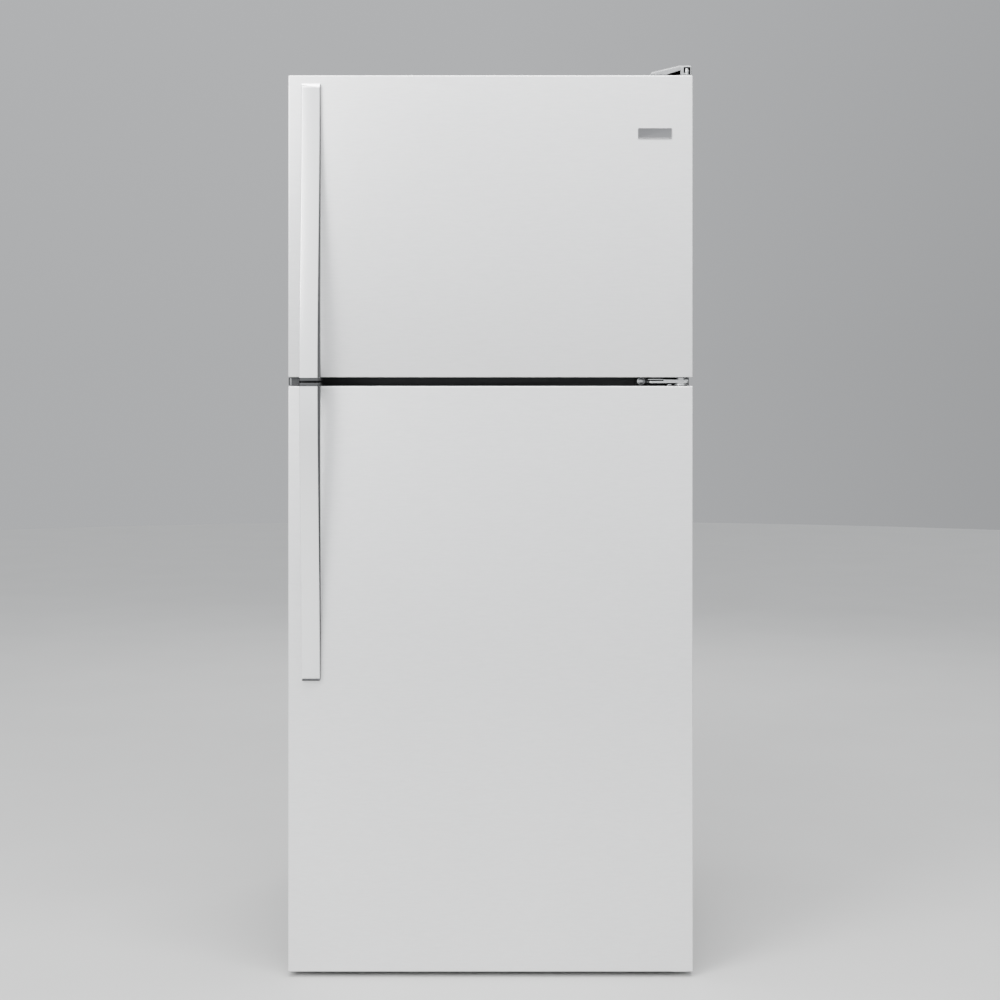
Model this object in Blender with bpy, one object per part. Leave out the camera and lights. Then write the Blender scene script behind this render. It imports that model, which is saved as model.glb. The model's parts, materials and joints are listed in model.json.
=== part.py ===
"""Top freezer refrigerator: two hinged doors on an insulated cabinet with its cooling parts and fittings."""

import math

import bmesh
import bpy
from mathutils import Matrix, Vector

# Overall sizes, in metres. +X is the hinge side, -Y the front and +Z up.
CABINET_WIDTH = 0.747
CABINET_DEPTH = 0.685
CABINET_RISE = 0.0025
DOOR_THICKNESS = 0.060
DOOR_FLOOR_GAP = 0.010
FRIDGE_DOOR_HEIGHT = 1.080
FREEZER_DOOR_HEIGHT = 0.557
DOOR_GAP = 0.0165
GASKET_GAP = 0.012
HANDLE_REACH = 0.050

# Walls and sheets.
SHEET = 0.001
LINER_WALL = 0.002
PLASTIC_WALL = 0.0025
FIT = 0.0003
SIDE_WALL = 0.050
TOP_WALL = 0.055
BACK_WALL = 0.055
MULLION_THICKNESS = 0.050
FRONT_FLANGE = 0.040

# Base and machine compartment.
WRAPPER_BOTTOM = 0.030
FOAM_BOTTOM = 0.075
FRIDGE_FLOOR = 0.115
SKIRT_WIDTH = 0.030
TOE_RECESS = 0.020
MACHINE_DEPTH = 0.230
MACHINE_TOP = 0.250
MACHINE_ROOF_FOAM = 0.050
FOOT_INSET_X = 0.060
FOOT_INSET_Y = 0.050
FOOT_RADIUS = 0.018
FOOT_PAD_HEIGHT = 0.012
FOOT_STEM_RADIUS = 0.005
FOOT_STEM_TOP = 0.062
ROLLER_RADIUS = 0.020
ROLLER_WIDTH = 0.018
ROLLER_INSET_X = 0.056
ROLLER_INSET_Y = 0.060
AXLE_RADIUS = 0.003

# Hinges.
HINGE_INSET_X = 0.020
HINGE_INSET_Y = 0.030
HINGE_PLATE = 0.004
HINGE_PIN_RADIUS = 0.005
HINGE_PIN_LENGTH = 0.015
PIN_CLEARANCE = 0.0005
HINGE_COVER_WIDTH = 0.076
HINGE_COVER_HEIGHT = 0.0175
HINGE_COVER_BACK = 0.080
BOLT_INSET_X = 0.0905
MIDDLE_PLATE_WIDTH = 0.075
BOLT_HEX_RADIUS = 0.0075
BOLT_HEAD = 0.005
BOLT_SHANK_RADIUS = 0.003
BOLT_LENGTH = 0.020
PLUG_INSET = 0.0005
PLUG_WIDTH = 0.020
PLUG_SETBACK = 0.004
PLUG_DEPTH = 0.030
PLUG_GAP = 0.001

# Doors.
CAP_HEIGHT = 0.018
CAP_SETBACK = 0.015
GASKET_INSET = 0.021
GASKET_WIDTH = 0.016
GASKET_MULLION_INSET = 0.002
GASKET_MULLION_WIDTH = 0.0125
GASKET_TOP_INSET = 0.020
GASKET_BOTTOM_INSET = 0.075
DIKE_CLEARANCE = 0.015
DIKE_WIDTH = 0.022
DIKE_DEPTH = 0.042
BIN_DEPTH = 0.110
BIN_WALL = 0.0025
BIN_RISE = 0.060
UPPER_BIN_RISE = 0.020
FREEZER_BIN_HEIGHT = 0.085
FRIDGE_BIN_HEIGHT = 0.100
DAIRY_DEPTH = 0.088
DAIRY_HEIGHT = 0.105
LID_THICKNESS = 0.003
BADGE_SIZE = (0.063, 0.020)
BADGE_THICKNESS = 0.0012
BADGE_INSET = (0.0387, 0.0977)

# Handles: a flat strap that bows away from the door towards the gap between the doors.
HANDLE_WIDTH = 0.035
HANDLE_STRAP = 0.009
HANDLE_INSET_X = 0.026
HANDLE_END_INSET = 0.0165
HANDLE_FOOT = 0.0062
HANDLE_FOOT_DEPTH = 0.030
HANDLE_LENGTH_BELOW = 0.545
HANDLE_STEPS = 16

# Shelves, drawers and controls.
SHELF_SETBACK = 0.125
SHELF_FRAME = 0.018
SHELF_RIM = 0.020
GLASS_THICKNESS = 0.004
SHELF_SIDE_GAP = 0.003
LEDGE_HEIGHT = 0.008
LEDGE_WIDTH = 0.009
UPPER_SHELF_DROP = 0.250
LOWER_SHELF_RISE = 0.252
CRISPER_COVER_RISE = 0.008
FREEZER_SHELF_RISE = 0.240
DRAWER_TOP_GAP = 0.0177
DRAWER_WALL = 0.0025
DRAWER_MIDDLE_GAP = 0.008
EVAPORATOR_SPACE = 0.075
CONTROL_SETBACK = 0.215
CONTROL_SIZE = (0.330, 0.100, 0.050)
KNOB_RADIUS = 0.018
KNOB_DEPTH = 0.014
LAMP_DEPTH = 0.090
SWITCH_RADIUS = 0.0030
SWITCH_INSET = 0.0455
SWITCH_LENGTH = 0.034
SIDES = 24

# Places that follow from the sizes.
TOTAL_DEPTH = HANDLE_REACH + DOOR_THICKNESS + GASKET_GAP + CABINET_DEPTH
HALF = CABINET_WIDTH / 2
DOOR_FRONT = HANDLE_REACH - TOTAL_DEPTH / 2
DOOR_BACK = DOOR_FRONT + DOOR_THICKNESS
FRONT = DOOR_BACK + GASKET_GAP
BACK = FRONT + CABINET_DEPTH
FRIDGE_DOOR_TOP = DOOR_FLOOR_GAP + FRIDGE_DOOR_HEIGHT
FREEZER_DOOR_BOTTOM = FRIDGE_DOOR_TOP + DOOR_GAP
FREEZER_DOOR_TOP = FREEZER_DOOR_BOTTOM + FREEZER_DOOR_HEIGHT
CABINET_TOP = FREEZER_DOOR_TOP + CABINET_RISE
GAP_MIDDLE = (FRIDGE_DOOR_TOP + FREEZER_DOOR_BOTTOM) / 2
FRIDGE_CEILING = GAP_MIDDLE - MULLION_THICKNESS / 2
FREEZER_FLOOR = GAP_MIDDLE + MULLION_THICKNESS / 2
FREEZER_CEILING = CABINET_TOP - TOP_WALL
CAVITY_X = HALF - SIDE_WALL
CAVITY_BACK = BACK - BACK_WALL
HUMP_TOP = MACHINE_TOP + MACHINE_ROOF_FOAM
HUMP_FRONT = BACK - MACHINE_DEPTH - MACHINE_ROOF_FOAM
CRISPER_COVER_Z = HUMP_TOP + CRISPER_COVER_RISE
LOWER_SHELF_Z = CRISPER_COVER_Z + LOWER_SHELF_RISE
UPPER_SHELF_Z = FRIDGE_CEILING - UPPER_SHELF_DROP
FREEZER_SHELF_Z = FREEZER_FLOOR + FREEZER_SHELF_RISE
AXIS_X = HALF - HINGE_INSET_X
AXIS_Y = DOOR_BACK - HINGE_INSET_Y
INNER_X = HALF - SHEET - FIT
FLANGE_X = HALF - FRONT_FLANGE - FIT
EVAPORATOR_COVER_Y = CAVITY_BACK - EVAPORATOR_SPACE
SHELF_FRONT = FRONT + SHELF_SETBACK
DIKE_X = CAVITY_X - DIKE_CLEARANCE
BIN_X = DIKE_X - DIKE_WIDTH - FIT


def clear_scene():
    for item in list(bpy.data.objects):
        bpy.data.objects.remove(item, do_unlink=True)


def face_outwards(bm):
    """Turns each separate shell so that its faces point out."""
    bmesh.ops.recalc_face_normals(bm, faces=bm.faces)
    left = set(bm.faces)
    while left:
        shell, edge = set(), [left.pop()]
        while edge:
            face = edge.pop()
            shell.add(face)
            near = {other for side in face.edges for other in side.link_faces} & left
            left -= near
            edge.extend(near)
        corners = [face.calc_center_median().dot(face.normal) * face.calc_area() for face in shell]
        if sum(corners) < 0:
            bmesh.ops.reverse_faces(bm, faces=list(shell))


def helper(bm):
    """A hidden object that lends its shape to a Boolean."""
    face_outwards(bm)
    mesh = bpy.data.meshes.new("shape")
    bm.to_mesh(mesh)
    bm.free()
    item = bpy.data.objects.new("shape", mesh)
    item.hide_render = True
    item.display_type = "WIRE"
    bpy.context.scene.collection.objects.link(item)
    return item


def add_block(bm, low, high):
    low, high = Vector(low), Vector(high)
    made = bmesh.ops.create_cube(bm, size=1.0)
    for vert in made["verts"]:
        vert.co = (low + high) / 2 + vert.co * (high - low)
    return made["verts"]


def blocks(*boxes):
    """Boxes that don't touch each other, as one shape."""
    bm = bmesh.new()
    for low, high in boxes:
        add_block(bm, low, high)
    return helper(bm)


def soft_block(low, high, radius, along, segments=2):
    """A box whose edges along one axis are rounded."""
    bm = bmesh.new()
    add_block(bm, low, high)
    index = "XYZ".index(along)
    edges = [e for e in bm.edges if abs((e.verts[0].co - e.verts[1].co)[index]) > 1e-6]
    bmesh.ops.bevel(bm, geom=edges, offset=radius, segments=segments, affect="EDGES", profile=0.5)
    return helper(bm)


def prism(outline, along, low, high):
    """An outline of two coordinates, extruded along the third axis."""
    bm = bmesh.new()
    index = "XYZ".index(along)
    verts = []
    for first, second in outline:
        point = [first, second]
        point.insert(index, low)
        verts.append(bm.verts.new(point))
    face = bm.faces.new(verts)
    made = bmesh.ops.extrude_face_region(bm, geom=[face])
    shift = Vector((0, 0, 0))
    shift[index] = high - low
    moved = [g for g in made["geom"] if isinstance(g, bmesh.types.BMVert)]
    bmesh.ops.translate(bm, verts=moved, vec=shift)
    bmesh.ops.triangulate(bm, faces=[f for f in bm.faces if len(f.verts) > 4])
    return helper(bm)


def rods(*pieces, sides=SIDES):
    """Round bars that don't touch each other, each given by its ends and radius."""
    bm = bmesh.new()
    for start, end, radius in pieces:
        start, end = Vector(start), Vector(end)
        made = bmesh.ops.create_cone(
            bm, cap_ends=True, segments=sides, radius1=radius, radius2=radius,
            depth=(end - start).length,
        )
        turn = (end - start).to_track_quat("Z", "Y")
        for vert in made["verts"]:
            vert.co = turn @ vert.co + (start + end) / 2
    return helper(bm)


def turned(profile, centre, sides=SIDES):
    """A profile of radius and height, turned about a vertical axis and closed at both ends."""
    bm = bmesh.new()
    rings = []
    for radius, height in profile:
        ring = []
        for step in range(sides):
            angle = 2 * math.pi * step / sides
            place = Vector((radius * math.cos(angle), radius * math.sin(angle), height))
            ring.append(bm.verts.new(Vector(centre) + place))
        rings.append(ring)
    for lower, upper in zip(rings, rings[1:]):
        for step in range(sides):
            after = (step + 1) % sides
            bm.faces.new((lower[step], lower[after], upper[after], upper[step]))
    bm.faces.new(rings[0])
    bm.faces.new(rings[-1])
    return helper(bm)


def tube(points, radius, resolution=2):
    """A round tube along a smooth path, as a mesh shape."""
    curve = bpy.data.curves.new("path", "CURVE")
    curve.dimensions = "3D"
    curve.bevel_depth = radius
    curve.bevel_resolution = resolution
    curve.use_fill_caps = True
    spline = curve.splines.new("POLY")
    spline.points.add(len(points) - 1)
    for point, place in zip(spline.points, points):
        point.co = (*place, 1)
    item = bpy.data.objects.new("path", curve)
    bpy.context.scene.collection.objects.link(item)
    graph = bpy.context.evaluated_depsgraph_get()
    mesh = bpy.data.meshes.new_from_object(item.evaluated_get(graph))
    bpy.data.objects.remove(item, do_unlink=True)
    bm = bmesh.new()
    bm.from_mesh(mesh)
    bmesh.ops.remove_doubles(bm, verts=bm.verts, dist=1e-5)
    return helper(bm)


def serpentine(passes, low, high, level, plane):
    """Points of a coil that runs to and fro along X, stepping along Z or Y between passes."""
    bend = (high[1] - low[1]) / (passes - 1) / 2
    points = []
    for row in range(passes):
        across = low[1] + 2 * bend * row
        ends = (low[0], high[0]) if row % 2 == 0 else (high[0], low[0])
        outward = 1 if row % 2 == 0 else -1
        points += [(ends[0], across), (ends[1], across)]
        if row < passes - 1:
            for step in range(1, 6):
                angle = -math.pi / 2 + math.pi * step / 6
                points.append(
                    (ends[1] + outward * bend * math.cos(angle), across + bend * (1 + math.sin(angle)))
                )
    if plane == "XZ":
        return [(x, level, z) for x, z in points]
    return [(x, y, level) for x, y in points]


def material(name, colour, roughness, metallic=0.0):
    found = bpy.data.materials.get(name)
    if found:
        return found
    made = bpy.data.materials.new(name)
    made.use_nodes = True
    shader = made.node_tree.nodes["Principled BSDF"]
    shader.inputs["Base Color"].default_value = (*colour, 1)
    shader.inputs["Roughness"].default_value = roughness
    shader.inputs["Metallic"].default_value = metallic
    return made


def finishes(name):
    values = {
        "stainless": ((0.72, 0.72, 0.71), 0.32, 1.0),
        "handle_steel": ((0.70, 0.70, 0.69), 0.25, 1.0),
        "cabinet_paint": ((0.035, 0.036, 0.038), 0.55, 0.0),
        "zinc_steel": ((0.62, 0.63, 0.64), 0.40, 1.0),
        "black_plastic": ((0.02, 0.02, 0.021), 0.50, 0.0),
        "silver_plastic": ((0.62, 0.63, 0.64), 0.40, 0.0),
        "grey_plastic": ((0.22, 0.22, 0.23), 0.50, 0.0),
        "white_plastic": ((0.85, 0.86, 0.86), 0.35, 0.0),
        "clear_plastic": ((0.86, 0.90, 0.92), 0.12, 0.0),
        "shelf_glass": ((0.80, 0.90, 0.86), 0.05, 0.0),
        "foam": ((0.86, 0.76, 0.52), 0.90, 0.0),
        "gasket_vinyl": ((0.06, 0.06, 0.062), 0.60, 0.0),
        "black_steel": ((0.02, 0.02, 0.02), 0.45, 0.0),
        "copper_tube": ((0.60, 0.33, 0.20), 0.35, 1.0),
        "aluminium_fin": ((0.75, 0.76, 0.77), 0.40, 1.0),
        "fibre_board": ((0.30, 0.24, 0.18), 0.85, 0.0),
    }
    colour, roughness, metallic = values[name]
    return material(name, colour, roughness, metallic)


def combined(solids, cuts=()):
    """The mesh of several shapes joined in turn and then cut."""
    base = solids[0]
    for operation, tools in (("UNION", solids[1:]), ("DIFFERENCE", cuts)):
        for tool in tools:
            modifier = base.modifiers.new(operation.lower(), "BOOLEAN")
            modifier.operation = operation
            modifier.solver = "EXACT"
            modifier.object = tool
    bpy.context.view_layer.update()
    graph = bpy.context.evaluated_depsgraph_get()
    mesh = bpy.data.meshes.new_from_object(base.evaluated_get(graph))
    for item in (*solids, *cuts):
        bpy.data.objects.remove(item, do_unlink=True)
    return mesh


def joined(solids, cuts=()):
    """Several shapes as one helper, for use in another Boolean."""
    bm = bmesh.new()
    bm.from_mesh(combined(solids, cuts))
    return helper(bm)


def make(name, finish, solids, cuts=(), pivot=(0, 0, 0), holder=None, smooth=False):
    """One sub-part, with its origin, or the empty that holds it, at the pivot."""
    mesh = combined(solids, cuts)
    mesh.transform(Matrix.Translation(-Vector(pivot)))
    mesh.name = name
    mesh.materials.clear()
    mesh.materials.append(finishes(finish))
    part = bpy.data.objects.new(name, mesh)
    bpy.context.scene.collection.objects.link(part)
    if smooth:
        mesh.shade_smooth()
        mesh.set_sharp_from_angle(angle=math.radians(35))
    if holder:
        part.parent = holder
    else:
        part.location = pivot
    return part


def cabinet_shell():
    """The painted steel wrapper, the back panel and the rail between the doors."""
    open_x = HALF - FRONT_FLANGE
    make(
        "cabinet_wrapper", "cabinet_paint",
        [blocks(((-HALF, FRONT, WRAPPER_BOTTOM), (HALF, BACK, CABINET_TOP)))],
        [
            blocks((
                (-HALF + SHEET, FRONT + SHEET, -1),
                (HALF - SHEET, BACK + 1, CABINET_TOP - SHEET),
            )),
            blocks(((-open_x, FRONT - 1, -1), (open_x, FRONT + 2 * SHEET, CABINET_TOP - FRONT_FLANGE))),
        ],
    )
    make(
        "back_panel", "zinc_steel",
        [blocks((
            (-INNER_X, BACK - 2 * SHEET, MACHINE_TOP + FIT),
            (INNER_X, BACK - SHEET, CABINET_TOP - SHEET - FIT),
        ))],
    )
    make(
        "center_rail", "cabinet_paint",
        [blocks((
            (-FLANGE_X, FRONT, FRIDGE_CEILING + LINER_WALL + FIT),
            (FLANGE_X, FRONT + SHEET, FREEZER_FLOOR - LINER_WALL - FIT),
        ))],
        [bolt_hole()],
    )


def base_pan():
    """A folded pan: floor, toe recess and front cross member, with cheeks and an axle for each roller."""
    riser_y = FRONT + TOE_RECESS
    shelf = FOAM_BOTTOM - FIT - SHEET
    floor_top = WRAPPER_BOTTOM + SHEET
    roller_y = BACK - ROLLER_INSET_Y
    reach = ROLLER_WIDTH / 2 + 0.0015
    folds = [
        blocks(((-INNER_X, riser_y, WRAPPER_BOTTOM), (INNER_X, BACK - 3 * SHEET, floor_top))),
        blocks(((-FLANGE_X, riser_y, WRAPPER_BOTTOM), (FLANGE_X, riser_y + SHEET, shelf + SHEET))),
        blocks(((-FLANGE_X, FRONT, shelf), (FLANGE_X, riser_y + SHEET / 2, shelf + SHEET))),
        blocks(((-FLANGE_X, FRONT, shelf), (FLANGE_X, FRONT + SHEET, FRIDGE_FLOOR - 2 * LINER_WALL))),
    ]
    cheeks, axles, windows, holes = [], [], [], []
    for side in (-1, 1):
        x = side * (HALF - ROLLER_INSET_X)
        for edge in (-1, 1):
            ends = sorted((x + edge * reach, x + edge * (reach + 2 * SHEET)))
            cheeks.append((
                (ends[0], roller_y - 0.012, ROLLER_RADIUS - 0.007),
                (ends[1], roller_y + 0.012, floor_top - SHEET / 2),
            ))
        axles.append((
            (x - reach - SHEET, roller_y, ROLLER_RADIUS),
            (x + reach + SHEET, roller_y, ROLLER_RADIUS),
            AXLE_RADIUS,
        ))
        windows.append((
            (x - reach, roller_y - ROLLER_RADIUS - 0.004, ROLLER_RADIUS),
            (x + reach, roller_y + ROLLER_RADIUS + 0.004, FOAM_BOTTOM),
        ))
        foot = (side * (HALF - FOOT_INSET_X), FRONT + FOOT_INSET_Y)
        holes.append(((*foot, 0), (*foot, FOAM_BOTTOM - 0.005), FOOT_STEM_RADIUS + 2 * PIN_CLEARANCE))
    floor = joined(folds, [blocks(*windows), rods(*holes)])
    make("base_pan", "zinc_steel", [floor, blocks(*cheeks), rods(*axles, sides=16)])


def tub(low, high, wall):
    """The outside of a tub whose inside runs from low to high, open at the front."""
    return (
        (low[0] - wall, low[1], low[2] - wall),
        (high[0] + wall, high[1] + wall, high[2] + wall),
    )


def opened(low, high):
    """The same space, run out past its front."""
    return (low[0], low[1] - 1, low[2]), high


def freezer_space():
    return (-CAVITY_X, FRONT, FREEZER_FLOOR), (CAVITY_X, CAVITY_BACK, FREEZER_CEILING)


def fridge_space():
    return (-CAVITY_X, FRONT, FRIDGE_FLOOR), (CAVITY_X, CAVITY_BACK, FRIDGE_CEILING)


def fridge_hollow(wall, through_front):
    """The fridge space grown by a wall, with the step over the machine compartment left standing."""
    low, high = tub(*fridge_space(), wall)
    if through_front:
        low, high = opened(low, high)
    step = (
        (-1, HUMP_FRONT + wall, -1),
        (1, BACK + 1, HUMP_TOP - wall),
    )
    return joined([blocks((low, high))], [blocks(step)])


def switch_place():
    return -HALF + SWITCH_INSET, (FRIDGE_CEILING + LOWER_SHELF_Z) / 2


def switch_hole():
    x, z = switch_place()
    return rods(((x, FRONT - 0.01, z), (x, FRONT + SWITCH_LENGTH, z), SWITCH_RADIUS + PIN_CLEARANCE))


def cabinet_foam():
    """Insulation that fills the walls, with a side skirt down to the pan and a notch for the machinery."""
    gap = LINER_WALL + FIT
    bottom = WRAPPER_BOTTOM + SHEET + FIT
    skirt_x = HALF - SKIRT_WIDTH
    make(
        "cabinet_foam", "foam",
        [blocks((
            (-INNER_X, FRONT + SHEET + FIT, bottom),
            (INNER_X, BACK - 2 * SHEET - FIT, CABINET_TOP - SHEET - FIT),
        ))],
        [
            fridge_hollow(gap, True),
            blocks(opened(*tub(*freezer_space(), gap))),
            blocks(((-skirt_x, FRONT - 1, bottom - 1), (skirt_x, BACK + 1, FOAM_BOTTOM))),
            blocks(((-skirt_x, BACK - MACHINE_DEPTH, bottom - 1), (skirt_x, BACK + 1, MACHINE_TOP))),
            switch_hole(),
            bolt_hole(),
        ],
    )


def ledges(levels, low_y, high_y):
    """A rib on each side wall under each shelf."""
    found = []
    for level in levels:
        for side in (-1, 1):
            ends = sorted((side * (CAVITY_X + LINER_WALL / 2), side * (CAVITY_X - LEDGE_WIDTH)))
            found.append(((ends[0], low_y, level - FIT - LEDGE_HEIGHT), (ends[1], high_y, level - FIT)))
    return blocks(*found)


def liners():
    """Moulded inner tubs, each with a flange that meets the steel front and ribs that carry its shelves."""
    low, high = freezer_space()
    top = CABINET_TOP - FRONT_FLANGE - FIT
    tub_shape = joined(
        [
            blocks(tub(low, high, LINER_WALL)),
            blocks(((-FLANGE_X, FRONT, FREEZER_FLOOR - LINER_WALL), (FLANGE_X, FRONT + SHEET, top))),
        ],
        [blocks(opened(low, high))],
    )
    ribs = ledges([FREEZER_SHELF_Z], SHELF_FRONT, EVAPORATOR_COVER_Y - 0.020)
    make("freezer_liner", "white_plastic", [tub_shape, ribs])
    bottom = FRIDGE_FLOOR - 2 * LINER_WALL + FIT
    top = FRIDGE_CEILING + LINER_WALL
    tub_shape = joined(
        [
            fridge_hollow(LINER_WALL, False),
            blocks(((-FLANGE_X, FRONT, bottom), (FLANGE_X, FRONT + SHEET, top))),
        ],
        [fridge_hollow(0, True), switch_hole()],
    )
    levels = [UPPER_SHELF_Z, LOWER_SHELF_Z, CRISPER_COVER_Z]
    ribs = ledges(levels, SHELF_FRONT, CAVITY_BACK - 0.040)
    make("fridge_liner", "white_plastic", [tub_shape, ribs])


def base_fittings():
    """Toe grille, levelling feet on their threaded stems, and rear rollers."""
    grille_x = FLANGE_X - 2 * LINER_WALL
    low = (-grille_x, FRONT + 2 * SHEET, FOOT_PAD_HEIGHT + 0.006)
    high = (grille_x, FRONT + 6 * SHEET, FOAM_BOTTOM - 3 * SHEET)
    slots = []
    count = 7
    pitch = (2 * grille_x - 0.030) / count
    for column in range(count):
        x = -grille_x + 0.020 + column * pitch
        for row in range(3):
            z = low[2] + 0.011 + row * 0.012
            slots.append(((x, low[1] - 1, z), (x + pitch - 0.010, high[1] + 1, z + 0.005)))
    make("base_grille", "black_plastic", [blocks((low, high))], [blocks(*slots)])
    for side, label in ((-1, "left"), (1, "right")):
        x = side * (HALF - FOOT_INSET_X)
        y = FRONT + FOOT_INSET_Y
        profile = [
            (FOOT_RADIUS - 0.002, 0), (FOOT_RADIUS, 0.002), (FOOT_RADIUS, FOOT_PAD_HEIGHT - 0.002),
            (FOOT_RADIUS - 0.002, FOOT_PAD_HEIGHT), (FOOT_STEM_RADIUS, FOOT_PAD_HEIGHT + 0.001),
            (FOOT_STEM_RADIUS, FOOT_STEM_TOP),
        ]
        make(f"{label}_levelling_foot", "black_plastic", [turned(profile, (x, y, 0))],
             pivot=(x, y, 0), smooth=True)
        x = side * (HALF - ROLLER_INSET_X)
        y = BACK - ROLLER_INSET_Y
        ends = ((x - ROLLER_WIDTH / 2, y, ROLLER_RADIUS), (x + ROLLER_WIDTH / 2, y, ROLLER_RADIUS))
        through = ((x - 1, y, ROLLER_RADIUS), (x + 1, y, ROLLER_RADIUS))
        make(f"{label}_rear_roller", "black_plastic",
             [rods((*ends, ROLLER_RADIUS), sides=32)],
             [rods((*through, AXLE_RADIUS + PIN_CLEARANCE), sides=16)],
             pivot=(x, y, ROLLER_RADIUS), smooth=True)


def machinery():
    """Compressor, condenser with its fan and shroud, drain pan and rear cover under the foam step."""
    floor = WRAPPER_BOTTOM + SHEET + FIT
    centre = (0.205, BACK - MACHINE_DEPTH / 2 - 0.005)
    pot = [
        (0.050, 0.006), (0.072, 0.018), (0.080, 0.045), (0.081, 0.085), (0.084, 0.088),
        (0.084, 0.093), (0.080, 0.096), (0.078, 0.130), (0.066, 0.155), (0.040, 0.168),
    ]
    foot = soft_block(
        (centre[0] - 0.100, centre[1] - 0.075, floor),
        (centre[0] + 0.100, centre[1] + 0.075, floor + 0.008), 0.020, "Z",
    )
    make("compressor", "black_steel", [turned(pot, (*centre, floor)), foot], smooth=True)
    coil_low, coil_high = (-0.300, BACK - 0.195), (-0.060, BACK - 0.045)
    level = floor + 0.070
    points = serpentine(7, coil_low, coil_high, level, "XY")
    make("condenser_coil", "black_steel", [tube(points, 0.004)], smooth=True)
    shroud_x = 0.030
    hub = (BACK - MACHINE_DEPTH / 2, floor + 0.100)
    ring = 0.078
    arm = rods(
        ((shroud_x + 0.016, *hub), (shroud_x + SHEET, hub[0], hub[1] + ring + 0.008), AXLE_RADIUS),
        sides=12,
    )
    plate = joined(
        [blocks((
            (shroud_x, BACK - MACHINE_DEPTH + 0.015, floor),
            (shroud_x + PLASTIC_WALL, BACK - 0.010, floor + 0.195),
        ))],
        [rods(((shroud_x - 1, *hub), (shroud_x + 1, *hub), ring), sides=32)],
    )
    motor = rods(((shroud_x + 0.010, *hub), (shroud_x + 0.045, *hub), 0.022))
    spindle = rods(((shroud_x - 0.012, *hub), (shroud_x + 0.020, *hub), AXLE_RADIUS), sides=16)
    make("condenser_fan_shroud", "black_plastic", [plate, motor, arm, spindle])
    fan("condenser_fan", (shroud_x - 0.014, *hub), "X", ring - 0.004)
    pan_low = (-0.310, BACK - 0.205, floor + 0.115)
    pan_high = (-0.020, BACK - 0.030, floor + 0.155)
    make(
        "drain_pan", "black_plastic", [blocks((pan_low, pan_high))],
        [blocks((
            (pan_low[0] + PLASTIC_WALL, pan_low[1] + PLASTIC_WALL, pan_low[2] + PLASTIC_WALL),
            (pan_high[0] - PLASTIC_WALL, pan_high[1] - PLASTIC_WALL, 1),
        ))],
    )
    cover_low = (-INNER_X, BACK - 2 * SHEET, floor + FIT)
    cover_high = (INNER_X, BACK - SHEET, MACHINE_TOP - FIT)
    slots = [
        (
            (x, BACK - 1, z),
            (x + 0.070, BACK + 1, z + 0.008),
        )
        for x in (-0.280, -0.190, -0.100, 0.030, 0.120, 0.210)
        for z in (0.080, 0.105, 0.130, 0.155)
    ]
    make("machine_cover", "fibre_board", [blocks((cover_low, cover_high))], [blocks(*slots)])


def fan(name, centre, along, reach):
    """A hub with a bore and five pitched blades, made about Z and turned onto its axis."""
    hub_radius = 0.016
    half = 0.008
    bm = bmesh.new()
    for step in range(5):
        angle = 2 * math.pi * step / 5
        corners = []
        for radius, spread in ((hub_radius - 0.003, 0.35), (reach, 0.42)):
            for turn, height in ((-spread, -half * 0.8), (spread, half * 0.8)):
                corners.append((radius, angle + turn, height))
        verts = []
        for radius, turn, height in corners:
            for lift in (-0.0008, 0.0008):
                place = Vector((radius * math.cos(turn), radius * math.sin(turn), height + lift))
                verts.append(bm.verts.new(place))
        a0, a1, b0, b1, c0, c1, d0, d1 = verts
        for face in ((a0, b0, d0, c0), (a1, c1, d1, b1), (a0, a1, b1, b0), (b0, b1, d1, d0),
                     (d0, d1, c1, c0), (c0, c1, a1, a0)):
            bm.faces.new(face)
    hub = rods(((0, 0, -half), (0, 0, half), hub_radius))
    bore = rods(((0, 0, -1), (0, 0, 1), AXLE_RADIUS + PIN_CLEARANCE), sides=16)
    shape = joined([hub, helper(bm)], [bore])
    turn = Matrix.Rotation(math.pi / 2, 4, "Y" if along == "X" else "X")
    shape.data.transform(Matrix.Translation(Vector(centre)) @ turn)
    make(name, "black_plastic", [shape], pivot=centre, smooth=True)


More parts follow.
